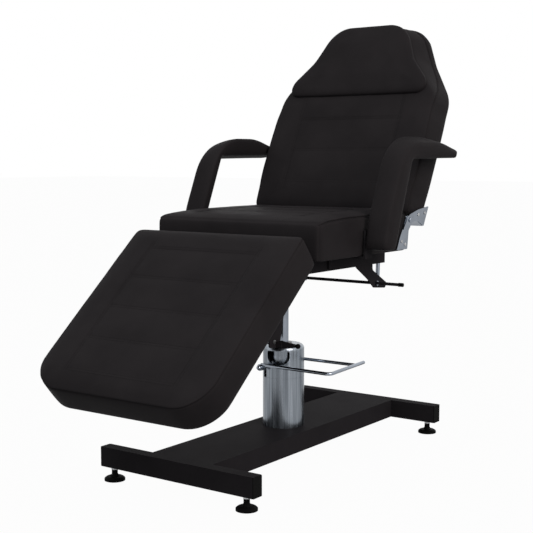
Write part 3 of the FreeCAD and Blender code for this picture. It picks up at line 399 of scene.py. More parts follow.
def net_of(sides, columns, rows):
    """The inside of four sides, blended (a Coons patch)."""
    near, right, far, left = sides
    s = columns[None, :, None]
    t = rows[:, None, None]
    blend = (1 - t) * near[None] + t * far[None] + (1 - s) * left[:, None] + s * right[:, None]
    flat = (1 - s) * (1 - t) * near[0] + s * (1 - t) * near[-1] + (1 - s) * t * far[0] + s * t * far[-1]
    return blend - flat


print("columns of a test net", len(graded(-300, 300, [-200, 200], 12, 4)))

# %% [markdown]
# ## From rings and nets to one closed skin
# Rings of points join into a wall, and a net closes each end. The result is all four-sided faces,
# which subdivide smoothly. If the finished skin has a negative volume its faces point inwards, so
# they are turned round.

# %% Skin builder
def points_of(piece):
    return np.array([v.co for v in piece.data.vertices])


def closed_skin(name, rings, first_net, last_net):
    """One closed mesh: rings of equal length, with a net of rows and columns closing each end."""
    verts = [tuple(p) for ring in rings for p in ring]
    count = len(rings[0])

    def close(net, ring_index):
        rows, cols = net.shape[:2]
        index = np.full((rows, cols), -1)
        edge = [(0, c) for c in range(cols)] + [(r, cols - 1) for r in range(1, rows)]
        edge += [(rows - 1, c) for c in range(cols - 2, -1, -1)] + [(r, 0) for r in range(rows - 2, 0, -1)]
        for k, at in enumerate(edge):
            index[at] = ring_index * count + k
        inner = net[1:-1, 1:-1].reshape(-1, 3)
        index[1:-1, 1:-1] = (len(verts) + np.arange(len(inner))).reshape(rows - 2, cols - 2)
        verts.extend(tuple(p) for p in inner)
        quads = np.stack((index[:-1, :-1], index[:-1, 1:], index[1:, 1:], index[1:, :-1]), axis=-1)
        return index, quads.reshape(-1, 4)

    _, low = close(first_net, 0)
    top_index, top = close(last_net, len(rings) - 1)
    here = np.arange(count)
    ahead = np.roll(here, -1)
    belt = np.column_stack((here, ahead, ahead + count, here + count))
    wall = [belt + k * count for k in range(len(rings) - 1)]
    mesh = bpy.data.meshes.new(name)
    mesh.from_pydata(verts, [], np.vstack((low[:, ::-1], top, *wall)).tolist())
    shell = bmesh.new()
    shell.from_mesh(mesh)
    if shell.calc_volume(signed=True) < 0:
        bmesh.ops.reverse_faces(shell, faces=shell.faces)
    shell.to_mesh(mesh)
    shell.free()
    return new_piece(name, mesh), top_index


print("skin builder ready")

# %% [markdown]
# ## Filling the covers
# A cover is cut a little small and the foam pushes it out between its seams. Cloth simulation
# shows that push: pressure swells the skin while the sewn lines and the stapled underside are
# held. The rise is capped, because foam only gives so much.

# %% Swelling by cloth
CLOTH_FRAMES, CLOTH_STIFFNESS, CLOTH_BENDING = 20, 25, 2


def evaluated(piece):
    return piece.evaluated_get(bpy.context.evaluated_depsgraph_get())


def swelled(piece, held, caps, pressure):
    """Runs the cloth for its frames and keeps each point's move within its own cap."""
    start = points_of(piece)
    group = piece.vertex_groups.new(name="held")
    for i, weight in enumerate(held):
        if weight > 0:
            group.add([i], float(weight), "REPLACE")
    cloth = piece.modifiers.new("cloth", "CLOTH")
    fabric = cloth.settings
    fabric.use_pressure = True
    fabric.uniform_pressure_force = pressure
    fabric.vertex_group_mass = "held"
    fabric.effector_weights.gravity = 0
    fabric.tension_stiffness = fabric.compression_stiffness = CLOTH_STIFFNESS
    fabric.bending_stiffness = CLOTH_BENDING
    cloth.collision_settings.use_collision = False
    cloth.point_cache.frame_start, cloth.point_cache.frame_end = 1, CLOTH_FRAMES
    for step in range(1, CLOTH_FRAMES + 1):
        scene.frame_set(step)
    moved = points_of(evaluated(piece))
    piece.modifiers.remove(cloth)
    piece.vertex_groups.clear()
    scene.frame_set(1)
    push = moved - start
    size = np.linalg.norm(push, axis=1)
    keep = np.minimum(1, caps / np.maximum(size, 1e-9))
    return start + push * keep[:, None]


def ramp(value, start, length):
    """0 up to the start, 1 from the start plus the length on, and straight between."""
    return np.clip((value - start) / length, 0, 1)


def set_points(piece, points):
    piece.data.vertices.foreach_set("co", np.asarray(points, float).ravel())
    piece.data.update()


def subdivided(piece):
    """Applies a subdivision surface and smooth shading."""
    smooth = piece.modifiers.new("rounding", "SUBSURF")
    smooth.levels = smooth.render_levels = 1
    made = bpy.data.meshes.new_from_object(evaluated(piece))
    piece.modifiers.clear()
    piece.data = made
    made.polygons.foreach_set("use_smooth", [True] * len(made.polygons))


def filled(piece, points, held, caps, pressure=4.0):
    """From a cut cover to a full one; its finished points are given back in millimetres."""
    set_points(piece, points * mm)
    set_points(piece, swelled(piece, held, caps * mm, pressure))
    subdivided(piece)
    piece.data.materials.append(cover_leather)
    return points_of(piece) / mm


print("simulation is", "on")

# %% [markdown]
# ## One upholstered pad
# A pad has a plywood board, foam and a boxed cover: a side band, and a top panel that is sewn to
# it along the front edge. Straight channels are sewn across the top between two long seams, and
# the cover turns in under the board, where it is stapled. All sizes here are in millimetres.

# %% Sizes shared by the pads
SEAT_CORNER, LEG_CORNER = 14, 100
HALF_W, PANEL_X, CHANNEL_STEP, NET_STEP = 303, 198, 119, 12
CROWN, CROWN_OVER = 5, 45
BOARD_T, BOARD_INSET, CLEARANCE = 15, 14, 0.4
# Each ring of the side wall: its share of the height, how far it is drawn in, and how far it
# follows the edge seam where that leaves the edge. The two rings drawn in deepest are the seam.
EDGE_RINGS = [
    (0.22, 0.3, 0.235), (0.46, 0.0, 0.491), (0.70, 0.0, 0.748), (0.88, 0.1, 0.955), (0.922, 0.6, 1.0),
    (0.936, 5.0, 1.0), (0.950, 5.0, 1.0), (0.962, 1.2, 1.0), (0.974, 0.8, 0.62), (0.988, 2.2, 0.28),
]
UNDER_RINGS = 4
GROOVE_RING = UNDER_RINGS + 5
SEAM_DEPTH, SEAM_CLOSE = 0.7, 6.0
CORNER_SEAM, CORNER_WIDTH = 3.6, 4
TOP_INSET, TOP_LIFT = 6.5, 0.6
SWELL_FROM_END, SWELL_FROM_EDGE, CALM_SWELL = 120, 40, 0.3
PLAIN_PAD = {
    "corners": (0, 1, 2, 3), "seam_route": [(0, 0)], "corner_seams": False, "full_end": 0,
    "top_swell": 1.8, "side_swell": 0.8, "calm_above": 1000,
}
print("pads", 2 * HALF_W, "mm wide, channels", CHANNEL_STEP, "mm apart")

# %% Pad builder
def shares(lines):
    """The lines' places, as shares of the way from the first to the last."""
    return (lines - lines[0]) / (lines[-1] - lines[0])


def lifted(points, height):
    """Flat points, given a height."""
    return np.concatenate((points, np.full(points.shape[:-1] + (1,), float(height))), axis=-1)


def upholstered(name, outline_at, length, width, spec):
    """A pad lying flat: returns the piece, the top net's point numbers and the length of a ring."""
    columns, rows, thick = shares(width), shares(length), spec["thick"]

    def ring(height, inset):
        corners, radii = drawn_in(*outline_at(height, inset), inset)
        return four_sides(corners, radii, spec["corners"], columns, rows)

    def band(share, inset, follows):
        """One ring of the side wall; where the seam leaves the edge, the ring goes with it."""
        flat = loop_of(ring(thick * share, inset))
        moved = follows * np.interp(flat[:, 1], *zip(*spec["seam_route"]))
        lean = (loop_of(ring(thick, inset)) - loop_of(ring(0, inset))) / thick
        return np.column_stack((flat + lean * moved[:, None], thick * share + moved))

    pocket, over_board = ring(0, BOARD_INSET - CLEARANCE), BOARD_T + CLEARANCE
    rings = [lifted(loop_of(pocket), over_board), lifted(loop_of(pocket), CLEARANCE)]
    rings += [lifted(loop_of(ring(0, inset)), height) for inset, height in ((3, 0.0), (0.8, 0.8))]
    rings += [band(*values) for values in EDGE_RINGS]
    edge = ring(thick, TOP_INSET)
    rings.append(lifted(loop_of(edge), thick + TOP_LIFT))
    floor_net = lifted(net_of(pocket, columns, rows), over_board)
    piece, index = closed_skin(name, rings, floor_net, lifted(net_of(edge, columns, rows), thick))
    return piece, index, len(rings[0])


def to_edge(points, index):
    """How far each point of the top net lies from the net's nearest edge."""
    x, y = points[index, 0], points[index, 1]
    return np.minimum.reduce((x - x[:, :1], x[:, -1:] - x, y - y[:1], y[-1:] - y))


def crown_and_seams(piece, index, loop_count, spec):
    """Raises the crown, sinks the sewn lines, and says what is held and how far the rest may swell."""
    points = points_of(piece)
    held = np.zeros(len(points))
    caps = np.full(len(points), spec["side_swell"])
    held[: UNDER_RINGS * loop_count] = 1
    y = points[index, 1]
    reach, ends = to_edge(points, index), np.minimum(y - y[:1], y[-1:] - y)
    rise = ramp(reach, 0, CROWN_OVER)
    points[index, 2] = spec["thick"] + TOP_LIFT + CROWN * (1 - (1 - rise) ** 2)
    swell = spec["top_swell"] * np.clip(ends / SWELL_FROM_END, 0.25, 1)
    swell *= np.clip(reach / SWELL_FROM_EDGE, 0.2, 1)
    caps[index] = np.where(y > spec["calm_above"], CALM_SWELL, swell)
    for at_row, at_column in spec["seams"]:
        at = index[at_row, at_column]
        points[at, 2] -= SEAM_DEPTH
        held[at] = 1
    corners = (0, len(index[0]) - 1) if spec["corner_seams"] else ()
    for k in range(UNDER_RINGS - 1, GROOVE_RING + 1):
        for corner in corners:
            at = k * loop_count + corner
            points[at, 0] -= np.sign(points[at, 0]) * CORNER_SEAM
            points[at, 1] += CORNER_SEAM
            held[at] = 1
    held[GROOVE_RING * loop_count : (GROOVE_RING + 2) * loop_count] = 1
    return shaped(points, spec), held, caps


LIFT_RANGE, WIDEN_RANGE, END_OVER = (0.35, 0.6), (-12, 30), 72


def shaped(points, spec):
    """Lifts the upper part by its rise, widens it, and fills out the head end's middle height."""
    x, y, z = points.T
    rise = np.interp(y, *zip(*spec["rise"]))
    wide = np.interp(y, *zip(*spec["wide"]))
    z += rise * ramp(z / spec["thick"], *LIFT_RANGE)
    x *= 1 + wide / HALF_W * ramp(z, *WIDEN_RANGE)
    fuller = ramp(z, 0, 18) * ramp(spec["thick"] - z, 0, 70)
    y += spec["full_end"] * fuller * ramp(y, spec["length"][1] - END_OVER, END_OVER)
    return points


print("pad builder ready")

# %% [markdown]
# ## Where the sewing lines run
# A cross channel runs between the two long seams, and the long seams stop short of the ends.
# Each is a row or a column of the top net, found by its place on the pad. Leather that is sewn
# down gathers in small folds, which fade within a centimetre of the seam.

# %% Sewing lines
def nearest(lines, place):
    return int(np.abs(lines - place).argmin())


def sewn_lines(length, width, spec):
    """Rows and columns of the top net that are sewn down."""
    left, right = nearest(width, -PANEL_X), nearest(width, PANEL_X)
    low, high = (nearest(length, end) for end in spec["ends"])
    across = [(nearest(length, c), np.arange(left, right + 1)) for c in spec["channels"]]
    along = [(np.arange(low, high + 1), side) for side in (left, right)]
    return across + along


FOLD_HEIGHT, FOLD_REACH, FOLD_RATE, FOLD_DRIFT = 0.35, 9, 0.36, 0.051
UNEVEN, UNEVEN_SCALE = 0.7, 0.021


def finish_pad(points, spec):
    """Fine folds by the seams and a slow unevenness, on the finished skin, still lying flat."""
    x, y, z = points.T
    low, high = spec["ends"]
    by_channel = np.abs(y[:, None] - spec["channels"]).min(1)
    by_side = np.abs(np.abs(x) - PANEL_X)
    by_channel[np.abs(x) > PANEL_X + 3] = np.inf
    away = np.where((y > low - 3) & (y < high + 3), np.minimum(by_channel, by_side), by_channel)
    along = np.where(by_side < 12, y, x)
    folds = np.sin(along * FOLD_RATE + 2.2 * np.sin(along * FOLD_DRIFT)) * np.exp(-((away / FOLD_REACH) ** 2))
    slow = np.array([noise.noise(Vector(p) * UNEVEN_SCALE) for p in points])
    z += np.where(z > spec["thick"] * 0.97, FOLD_HEIGHT * folds + UNEVEN * slow, 0)
    return points


print("sewing helpers ready")

# %% [markdown]
# ## From the flat bench to the chair
# Every pad is made lying flat in millimetres, as it would be on a bench, then turned to its slope
# and set on its frame: a slope in degrees, and the place of the bench's origin as (y, z).

# %% Placing
SEAT_PLACE = (0, (0, 664))
LEG_PLACE = (40, (-275, 664))
BACK_PLACE = (64.5, (352, 741))


def placed(points, degrees, origin):
    turn = math.radians(degrees)
    c, s = math.cos(turn), math.sin(turn)
    out = np.empty_like(points)
    out[:, 0] = points[:, 0]
    out[:, 1] = origin[0] + points[:, 1] * c - points[:, 2] * s
    out[:, 2] = origin[1] + points[:, 1] * s + points[:, 2] * c
    return out * mm


def make_pad(name, outline_at, spec):
    """Cuts, sews, fills and finishes one pad, lying flat."""
    length = graded(*spec["length"], spec["channels"], NET_STEP, SEAM_CLOSE)
    width = graded(-HALF_W, HALF_W, [-PANEL_X, PANEL_X], NET_STEP, SEAM_CLOSE)
    if spec["corner_seams"]:
        length = np.insert(length, 1, length[0] + CORNER_WIDTH)
        width = np.insert(width, (1, len(width) - 1), (width[0] + CORNER_WIDTH, width[-1] - CORNER_WIDTH))
    piece, index, loop_count = upholstered(name, outline_at, length, width, spec)
    spec["seams"] = sewn_lines(length, width, spec)
    flat = finish_pad(filled(piece, *crown_and_seams(piece, index, loop_count, spec)), spec)
    print(name, len(piece.data.polygons), "faces, top at", round(flat[:, 2].max(), 1), "mm")
    return piece, flat


print("ready to make pads")

# %% [markdown]
# ## The seat pad
# A plain rectangle with small corners, three channels across it and a seam down each side. Its
# front edge is a soft roll for the thighs instead of a seam, with a short upright seam at both
# front corners. It swells little along its flanks, where the hinge plates lie close by.

# %% Seat pad
SEAT_FRONT, SEAT_REAR, SEAT_THICK, SEAT_ROLL = -262, 256, 112, 18
SQUARE_BELOW = 40


def seat_outline(height, inset):
    """The front edge is a soft roll without a seam, so the inset isn't taken there."""
    over = min(max(height - (SEAT_THICK - SEAT_ROLL), 0), SEAT_ROLL - 0.3)
    roll = SEAT_ROLL - math.sqrt(SEAT_ROLL**2 - over**2)
    front = SEAT_FRONT + (roll - inset if height > SQUARE_BELOW else 0)
    w = HALF_W
    return [(-w, front), (w, front), (w, SEAT_REAR), (-w, SEAT_REAR)], [SEAT_CORNER] * 4


seat_spec = {
    **PLAIN_PAD, "length": (SEAT_FRONT, SEAT_REAR), "thick": SEAT_THICK, "corner_seams": True,
    "channels": [-122, -3, 116], "ends": (-200, 194),
    "rise": [(-262, -3), (-250, 0), (-230, 5), (-198, 8), (-149, 10.5), (-93, 12.5), (142, 15),
             (226, 16), (244, 11), (256, 0)],
    "wide": [(-262, 3), (-60, 3), (60, 0), (256, 0)],
}
seat_pad, seat_flat = make_pad("seat_cover", seat_outline, seat_spec)
set_points(seat_pad, placed(seat_flat, *SEAT_PLACE))

# %% [markdown]
# ## The leg rest pad
# Longer and thinner, with two large round corners at the foot end. A person's calves lie here, so
# its channels are wide and shallow.

# %% Leg rest pad
LEG_FOOT = -624


def leg_outline(height, inset):
    """The same at every height and inset."""
    w = HALF_W
    corners = [(-w, LEG_FOOT), (w, LEG_FOOT), (w, 0), (-w, 0)]
    return corners, [LEG_CORNER, LEG_CORNER, SEAT_CORNER, SEAT_CORNER]


leg_spec = {
    **PLAIN_PAD, "length": (LEG_FOOT, 0), "thick": 98, "side_swell": 1.2,
    "channels": [-86 - CHANNEL_STEP * i for i in range(5)], "ends": (-562, -62),
    "rise": [(LEG_FOOT, -9), (-600, -3), (-560, 0), (-300, 5), (-40, 9), (-12, 7.5), (0, 2)],
    "wide": [(LEG_FOOT, 7), (-560, 7), (0, 4)],
}
leg_pad, leg_flat = make_pad("leg_rest_cover", leg_outline, leg_spec)
set_points(leg_pad, placed(leg_flat, *LEG_PLACE))

# %% [markdown]
# ## The backrest pad
# Its shoulders slope in to a narrower head, and its front is narrower than its board. The edge seam
# leaves the front edge at the shoulder and runs on along the middle of the side. The pillow covers
# the upper part, so the foam hardly swells there.

# %% Backrest pad
BACK_THICK, BACK_TOP = 102, 712
BACK_CORNERS = (7, 0, 3, 4)
BACK_REAR = [(303, 0), (310, 456), (228, 587), (168, BACK_TOP)]
BACK_FRONT = [(303, 0), (303, 430), (193, 576), (134, 703)]
BACK_REAR_BENDS = [SEAT_CORNER, 120, 150, 60]
BACK_FRONT_BENDS = [SEAT_CORNER, 120, 150, 100]


def back_outline(height, inset):
    """The outline at a height, between the rear one and the front one."""
    share = min(height / BACK_THICK, 1)
    half = [tuple(p) for p in np.array(BACK_REAR) * (1 - share) + np.array(BACK_FRONT) * share]
    bends = [r * (1 - share) + f * share for r, f in zip(BACK_REAR_BENDS, BACK_FRONT_BENDS)]
    return half + [(-x, y) for x, y in reversed(half)], bends + bends[::-1]


back_spec = {
    **PLAIN_PAD, "corners": BACK_CORNERS, "length": (0, BACK_TOP), "thick": BACK_THICK,
    "channels": [100, 219, 338], "ends": (62, 425), "full_end": 14, "calm_above": 405,
    "seam_route": [(0, 0), (340, 0), (380, -4), (419, -12), (455, -34), (510, -63), (565, -73),
                   (635, -72), (671, -64), (691, -50), (BACK_TOP, -40)],
    "rise": [(0, 0), (24, 8), (70, 12), (250, 11), (430, 9), (600, 3), (BACK_TOP, -1)],
    "wide": [(0, 0), (72, 0), (110, 4), (150, 6), (260, 6), (340, 4), (385, 0), (BACK_TOP, 0)],
}
back_pad, back_flat = make_pad("backrest_cover", back_outline, back_spec)
set_points(back_pad, placed(back_flat, *BACK_PLACE))

# %% [markdown]
# ## The head pillow
# A thinner pad sewn onto the upper backrest, with its own band and a deep crease below it. It is
# built like the others, but its underside follows the backrest: a ray dropped onto the finished
# pad gives the height at each point.

# %% Height of a finished pad
def height_over(flat, mesh):
    """Returns a function that gives the height of a finished pad, still flat, at a place."""
    tree = BVHTree.FromPolygons([tuple(p) for p in flat], [tuple(f.vertices) for f in mesh.polygons])
    from_above = 400

    def height(x, y):
        hit = tree.ray_cast((x, y, from_above), (0, 0, -1))[0]
        return None if hit is None else hit.z

    return height


back_height = height_over(back_flat, back_pad.data)
print("backrest is", round(back_height(0, 500), 1), "mm high under the pillow")

# %% Pillow rings
PILLOW = [(274, 425), (264, 480), (199, 558), (138, 695)]
PILLOW += [(-x, y) for x, y in reversed(PILLOW)]
PILLOW_BENDS = [30, 60, 80, 95, 95, 80, 60, 30]
PILLOW_BASE, PILLOW_T, PILLOW_CROWN = 110, 26, 3.5
PILLOW_EDGE = [(0.10, 0.3), (0.28, 0.0), (0.46, 0.4), (0.62, 2.2), (0.76, 5.6), (0.88, 11.0)]
PILLOW_TOP = (0.95, 24)
PILLOW_FOOT_INSET, REST_GAP = 2, 0.15
PILLOW_SWELL, PILLOW_WELT = 4.0, 4
pillow_s = shares(graded(-258, 258, [], NET_STEP, 4))
pillow_t = shares(graded(425, 692, [], NET_STEP, 4))


def pillow_ring(inset):
    corners, bends = drawn_in(PILLOW, PILLOW_BENDS, inset)
    return four_sides(corners, bends, BACK_CORNERS, pillow_s, pillow_t)


def pillow_level(points, share):
    return lifted(points, PILLOW_BASE + PILLOW_T * share)


def resting(points):
    """The same points, a hair above the backrest."""
    flat = points.reshape(-1, 2)
    z = [back_height(a, b) or PILLOW_BASE - 6 for a, b in flat]
    return np.column_stack((flat, np.array(z) + REST_GAP)).reshape(points.shape[:-1] + (3,))


print("pillow net", len(pillow_s), "x", len(pillow_t))

# %% Head pillow
foot, upper = pillow_ring(PILLOW_FOOT_INSET), pillow_ring(PILLOW_TOP[1])
pillow_rings = [resting(loop_of(foot))]
pillow_rings += [pillow_level(loop_of(pillow_ring(inset)), share) for share, inset in PILLOW_EDGE]
pillow_rings.append(pillow_level(loop_of(upper), PILLOW_TOP[0]))
pillow_top = pillow_level(net_of(upper, pillow_s, pillow_t), PILLOW_TOP[0])
pillow_floor = resting(net_of(foot, pillow_s, pillow_t))
pillow, pillow_index = closed_skin("head_pillow_cover", pillow_rings, pillow_floor, pillow_top)
print("pillow skin of", len(pillow_rings), "rings")

# %% The pillow's filling
pillow_points = points_of(pillow)
ring_length = len(pillow_rings[0])
wall_end = len(pillow_rings) * ring_length
reach = to_edge(pillow_points, pillow_index)
pillow_points[pillow_index, 2] += PILLOW_CROWN * np.sin(ramp(reach, 0, 70) * math.pi / 2)
# The foot, the welt and the underside are held.
pillow_held = np.zeros(len(pillow_points))
pillow_held[:ring_length] = 1
pillow_held[PILLOW_WELT * ring_length : (PILLOW_WELT + 1) * ring_length] = 0.9
pillow_held[wall_end:] = pillow_points[wall_end:, 2] < PILLOW_BASE + 9
pillow_caps = np.full(len(pillow_points), 1.0)
pillow_caps[pillow_index] = PILLOW_SWELL * np.clip(reach / 50, 0.2, 1)
pillow_flat = filled(pillow, pillow_points, pillow_held, pillow_caps)
uneven = np.array([0.8 * noise.noise(Vector((a, b, 7)) * 0.02) for a, b, _ in pillow_flat])
pillow_flat[:, 2] += uneven * (pillow_flat[:, 2] > PILLOW_BASE + 12)
set_points(pillow, placed(pillow_flat, *BACK_PLACE))
print("pillow", len(pillow.data.polygons), "faces")

# %% [markdown]
# ## The arms
# Each arm is one upholstered hook: a post that leans back, a rounded brow, and a long pad that
# thins to a tip like a beak. It is swept like a sleeve. One line runs up the front and over the
# top, another up the rear and along the underside, and a rounded section stretches between them.
# Towards the outside the top falls a little, and the rear line lies lower and further back.

# %% Arm lines
ARM_X0, ARM_X1 = 321, 397
ARM_FOOT, ARM_TIP = 684, 982
KNEE_Y, KNEE_Z, POST_LEAN = -17, 788, 0.4435
ARM_BENDS = [18, 14, 20, 4, 5, 280, 160, 250]
ARM_RUNS = (17, 9, 24)
ARM_INNER = (-24, 98, 970, 452, 1027, 152)
ARM_MIDDLE = (2, 114, 962, 456, 1020, 170)
ARM_OUTER = (28, 130, 955, 428, 1008, 106)


def spaced(line, count):
    """Points at even steps along a line."""
    steps = np.concatenate(([0], np.cumsum(np.linalg.norm(np.diff(line, axis=0), axis=1))))
    at = np.linspace(0, steps[-1], count)
    return np.column_stack([np.interp(at, steps, line[:, k]) for k in (0, 1)])


def arm_lines(rear_low, rear_top, under, tip, top, slope):
    """The front-and-top line and the rear-and-underside line, cut into post, bend and pad."""
    brow = KNEE_Y + (top - KNEE_Z) * POST_LEAN
    corners = [(-40, ARM_FOOT), (rear_low, ARM_FOOT), (rear_top, under), (tip - 10, under + 4),
               (tip, ARM_TIP), (tip - slope, top), (brow, top), (KNEE_Y, KNEE_Z)]
    points, middles = traced(corners, ARM_BENDS)
    arc = len(points) // len(corners)
    front = between(points, middles[4], middles[0])[::-1]
    rear = between(points, middles[1], middles[3])
    front_end, rear_end = len(front) - 1, len(rear) - 1
    brow_arc = [front_end - (at - middles[4]) for at in (7 * arc - 1, 6 * arc)]
    crook_arc = [at - middles[1] for at in (2 * arc, 3 * arc - 1)]
    made = []
    for line, cuts in ((front, [0, *brow_arc, front_end]), (rear, [0, *crook_arc, rear_end])):
        runs = [spaced(line[cuts[k] : cuts[k + 1] + 1], n) for k, n in enumerate(ARM_RUNS)]
        made.append(np.vstack((runs[0], runs[1][1:], runs[2][1:])))
    return made


arm_fronts, arm_rears = zip(*[arm_lines(*sizes) for sizes in (ARM_INNER, ARM_MIDDLE, ARM_OUTER)])
print("arm stations", len(arm_fronts[0]), "from", arm_fronts[0][0].round(0), "to", arm_fronts[0][-1].round(0))

# %% Arm sections
ARM_COLUMNS = graded(0, 1, [0.09, 0.91], 0.13, 0.05)
ARM_ROWS = graded(0, 1, [], 0.16, 0.05)
LARGEST_BEND, BEND_SHARE = 11, 0.42
FULL_TOP, FULL_UNDER, FULL_SIDE = 2.6, 1.2, 1.3


def at_depth(lines, station, share):
    """A point of the inner, middle and outer lines blended smoothly across the arm."""
    a, b, c = (line[station] for line in lines)
    return a * 2 * (share - 0.5) * (share - 1) + b * 4 * share * (1 - share) + c * 2 * share * (share - 0.5)


def arm_section(station, shrink=1.0, shift=(0, 0)):
    """A rounded section between the two lines: its loop and its net, as (x, y, z)."""
    wide = ARM_X1 - ARM_X0
    deep = np.linalg.norm(at_depth(arm_fronts, station, 0.5) - at_depth(arm_rears, station, 0.5))
    bends = [min(LARGEST_BEND, deep * BEND_SHARE)] * 4
    box = [(0, 0), (wide, 0), (wide, deep), (0, deep)]
    sides = four_sides(box, bends, (0, 1, 2, 3), ARM_COLUMNS, ARM_ROWS)

    def solid(flat):
        out = np.empty(flat.shape[:-1] + (3,))
        for at in np.ndindex(flat.shape[:-1]):
            p, q = flat[at]
            side = 2 * p / wide - 1
            q += (FULL_TOP if q > deep / 2 else -FULL_UNDER) * (1 - side**2) * abs(2 * q / deep - 1)
            p += FULL_SIDE * side * (1 - min(1, abs(2 * q / deep - 1)) ** 2)
            share = p / wide
            rear, front = at_depth(arm_rears, station, share), at_depth(arm_fronts, station, share)
            out[at] = (ARM_X0 + p, *(rear + (front - rear) * (q / deep)))
        return out

    loop, net = solid(loop_of(sides)), solid(net_of(sides, ARM_COLUMNS, ARM_ROWS))
    centre = loop.mean(0)
    drop = np.array((0, *shift))
    return centre + (loop - centre) * shrink + drop, centre + (net - centre) * shrink + drop


print("arm section", len(ARM_COLUMNS), "x", len(ARM_ROWS))

# %% Arm skin
# Where the sleeve closes, the section shrinks and moves outwards along y and z.
FOOT_CLOSING = [(0.72, (0, -4.6)), (0.9, (0, -3.4))]
NOSE_CLOSING = [(0.86, (2.4, 0)), (0.6, (3.6, 0))]
last = len(arm_fronts[0]) - 1
arm_rings = [arm_section(0, *closing)[0] for closing in FOOT_CLOSING]
arm_rings += [arm_section(k)[0] for k in range(last + 1)]
arm_rings += [arm_section(last, *closing)[0] for closing in NOSE_CLOSING]
arm_foot = arm_section(0, *FOOT_CLOSING[0])[1]
arm_nose = arm_section(last, *NOSE_CLOSING[-1])[1]
arm_pad, _ = closed_skin("arm_cover_left", arm_rings, arm_foot, arm_nose)
print("arm skin of", len(arm_rings), "rings")

# %% The arm's filling
ARM_SWELL, ARM_PRESSURE = 1.0, 3.0
arm_points = points_of(arm_pad)
arm_loop = len(arm_rings[0])
# The foot, the tip, and the seams along the two edges of the front and top are held.
outer_edge = len(ARM_COLUMNS) + len(ARM_ROWS) - 2
inner_edge = outer_edge + len(ARM_COLUMNS) - 1
arm_held = np.zeros(len(arm_points))
arm_held[: 2 * arm_loop] = 1
arm_held[-2 * arm_loop :] = 1
for k in range(3, len(arm_rings) - 3):
    arm_held[[k * arm_loop + outer_edge, k * arm_loop + inner_edge]] = 0.9
filled(arm_pad, arm_points, arm_held, np.full(len(arm_points), ARM_SWELL), ARM_PRESSURE)
print("arm", len(arm_pad.data.polygons), "faces")

# %% The other arm
arm_pad_right = new_piece("arm_cover_right", arm_pad.data.copy())
set_points(arm_pad_right, points_of(arm_pad_right) * (-1, 1, 1))
arm_pad_right.data.flip_normals()
print("mirrored", arm_pad_right.name)

# %% [markdown]
# ## Stitches
# Black thread runs along both sides of every channel, in stitches four millimetres long. A stitch
# is a tiny spindle on the leather, repeated along a line, which is a task for Geometry Nodes: the
# line is resampled at the stitch pitch, and each point gets a spindle that turns with the line.
# The tree is built once with named inputs, and its result is made a plain mesh for each body.

# %% Stitch tree
STITCH_PITCH, STITCH_LENGTH, THREAD_SIZE = 5.2, 3.9, 0.9
STITCH_SIDES, STITCH_RINGS = 6, 5


def stitch_tree():
    tree = bpy.data.node_groups.new("row_of_stitches", "GeometryNodeTree")
    face = tree.interface
    face.new_socket("Geometry", in_out="INPUT", socket_type="NodeSocketGeometry")
    for label, default in (("Pitch", STITCH_PITCH), ("Length", STITCH_LENGTH), ("Thickness", THREAD_SIZE)):
        face.new_socket(label, in_out="INPUT", socket_type="NodeSocketFloat").default_value = default * mm
    face.new_socket("Thread", in_out="INPUT", socket_type="NodeSocketMaterial")
    face.new_socket("Geometry", in_out="OUTPUT", socket_type="NodeSocketGeometry")
    curve, resample, spindle, tangent, place, solid, finish = (
        tree.nodes.new("GeometryNode" + kind) for kind in (
            "MeshToCurve", "ResampleCurve", "MeshUVSphere", "InputTangent", "InstanceOnPoints",
            "RealizeInstances", "SetMaterial"))
    entry, leave, turn, size = (tree.nodes.new(kind) for kind in (
        "NodeGroupInput", "NodeGroupOutput", "FunctionNodeAlignRotationToVector", "ShaderNodeCombineXYZ"))
    resample.mode = "LENGTH"
    set_inputs(spindle, Segments=STITCH_SIDES, Rings=STITCH_RINGS, Radius=0.5)
    turn.axis = "X"
    wire(
        tree,
        (entry, "Geometry", curve, "Mesh"), (curve, "Curve", resample, "Curve"),
        (entry, "Pitch", resample, "Length"), (resample, "Curve", place, "Points"),
        (spindle, "Mesh", place, "Instance"), (tangent, "Tangent", turn, "Vector"),
        (turn, "Rotation", place, "Rotation"), (entry, "Length", size, "X"),
        (entry, "Thickness", size, "Y"), (entry, "Thickness", size, "Z"),
        (size, "Vector", place, "Scale"), (place, "Instances", solid, "Geometry"),
        (solid, "Geometry", finish, "Geometry"), (entry, "Thread", finish, "Material"),
        (finish, "Geometry", leave, "Geometry"),
    )
    return tree


stitch_nodes = stitch_tree()
print("stitch tree with", len(stitch_nodes.nodes), "nodes")

# %% Sewing a set of lines
BESIDE_SEAM, ROUTE_STEP, THREAD_LIFT = 4.2, 6.0, 0.1


def sewn(name, lines):
    """Stitches along lines of points in metres, as one plain mesh."""
    verts, edges = [], []
    for line in lines:
        first = len(verts)
        verts += [tuple(p) for p in line]
        edges += [(first + k, first + k + 1) for k in range(len(line) - 1)]
    mesh = bpy.data.meshes.new(name)
    mesh.from_pydata(verts, edges, [])
    guide = new_piece(name + "_line", mesh)
    sewing = guide.modifiers.new("stitches", "NODES")
    sewing.node_group = stitch_nodes
    for item in stitch_nodes.interface.items_tree:
        if item.name == "Thread":
            sewing[item.identifier] = thread
    made = bpy.data.meshes.new_from_object(evaluated(guide))
    bpy.data.objects.remove(guide)
    made.polygons.foreach_set("use_smooth", [True] * len(made.polygons))
    print(name, len(made.polygons) // (STITCH_SIDES * STITCH_RINGS), "stitches")
    return new_piece(name, made)


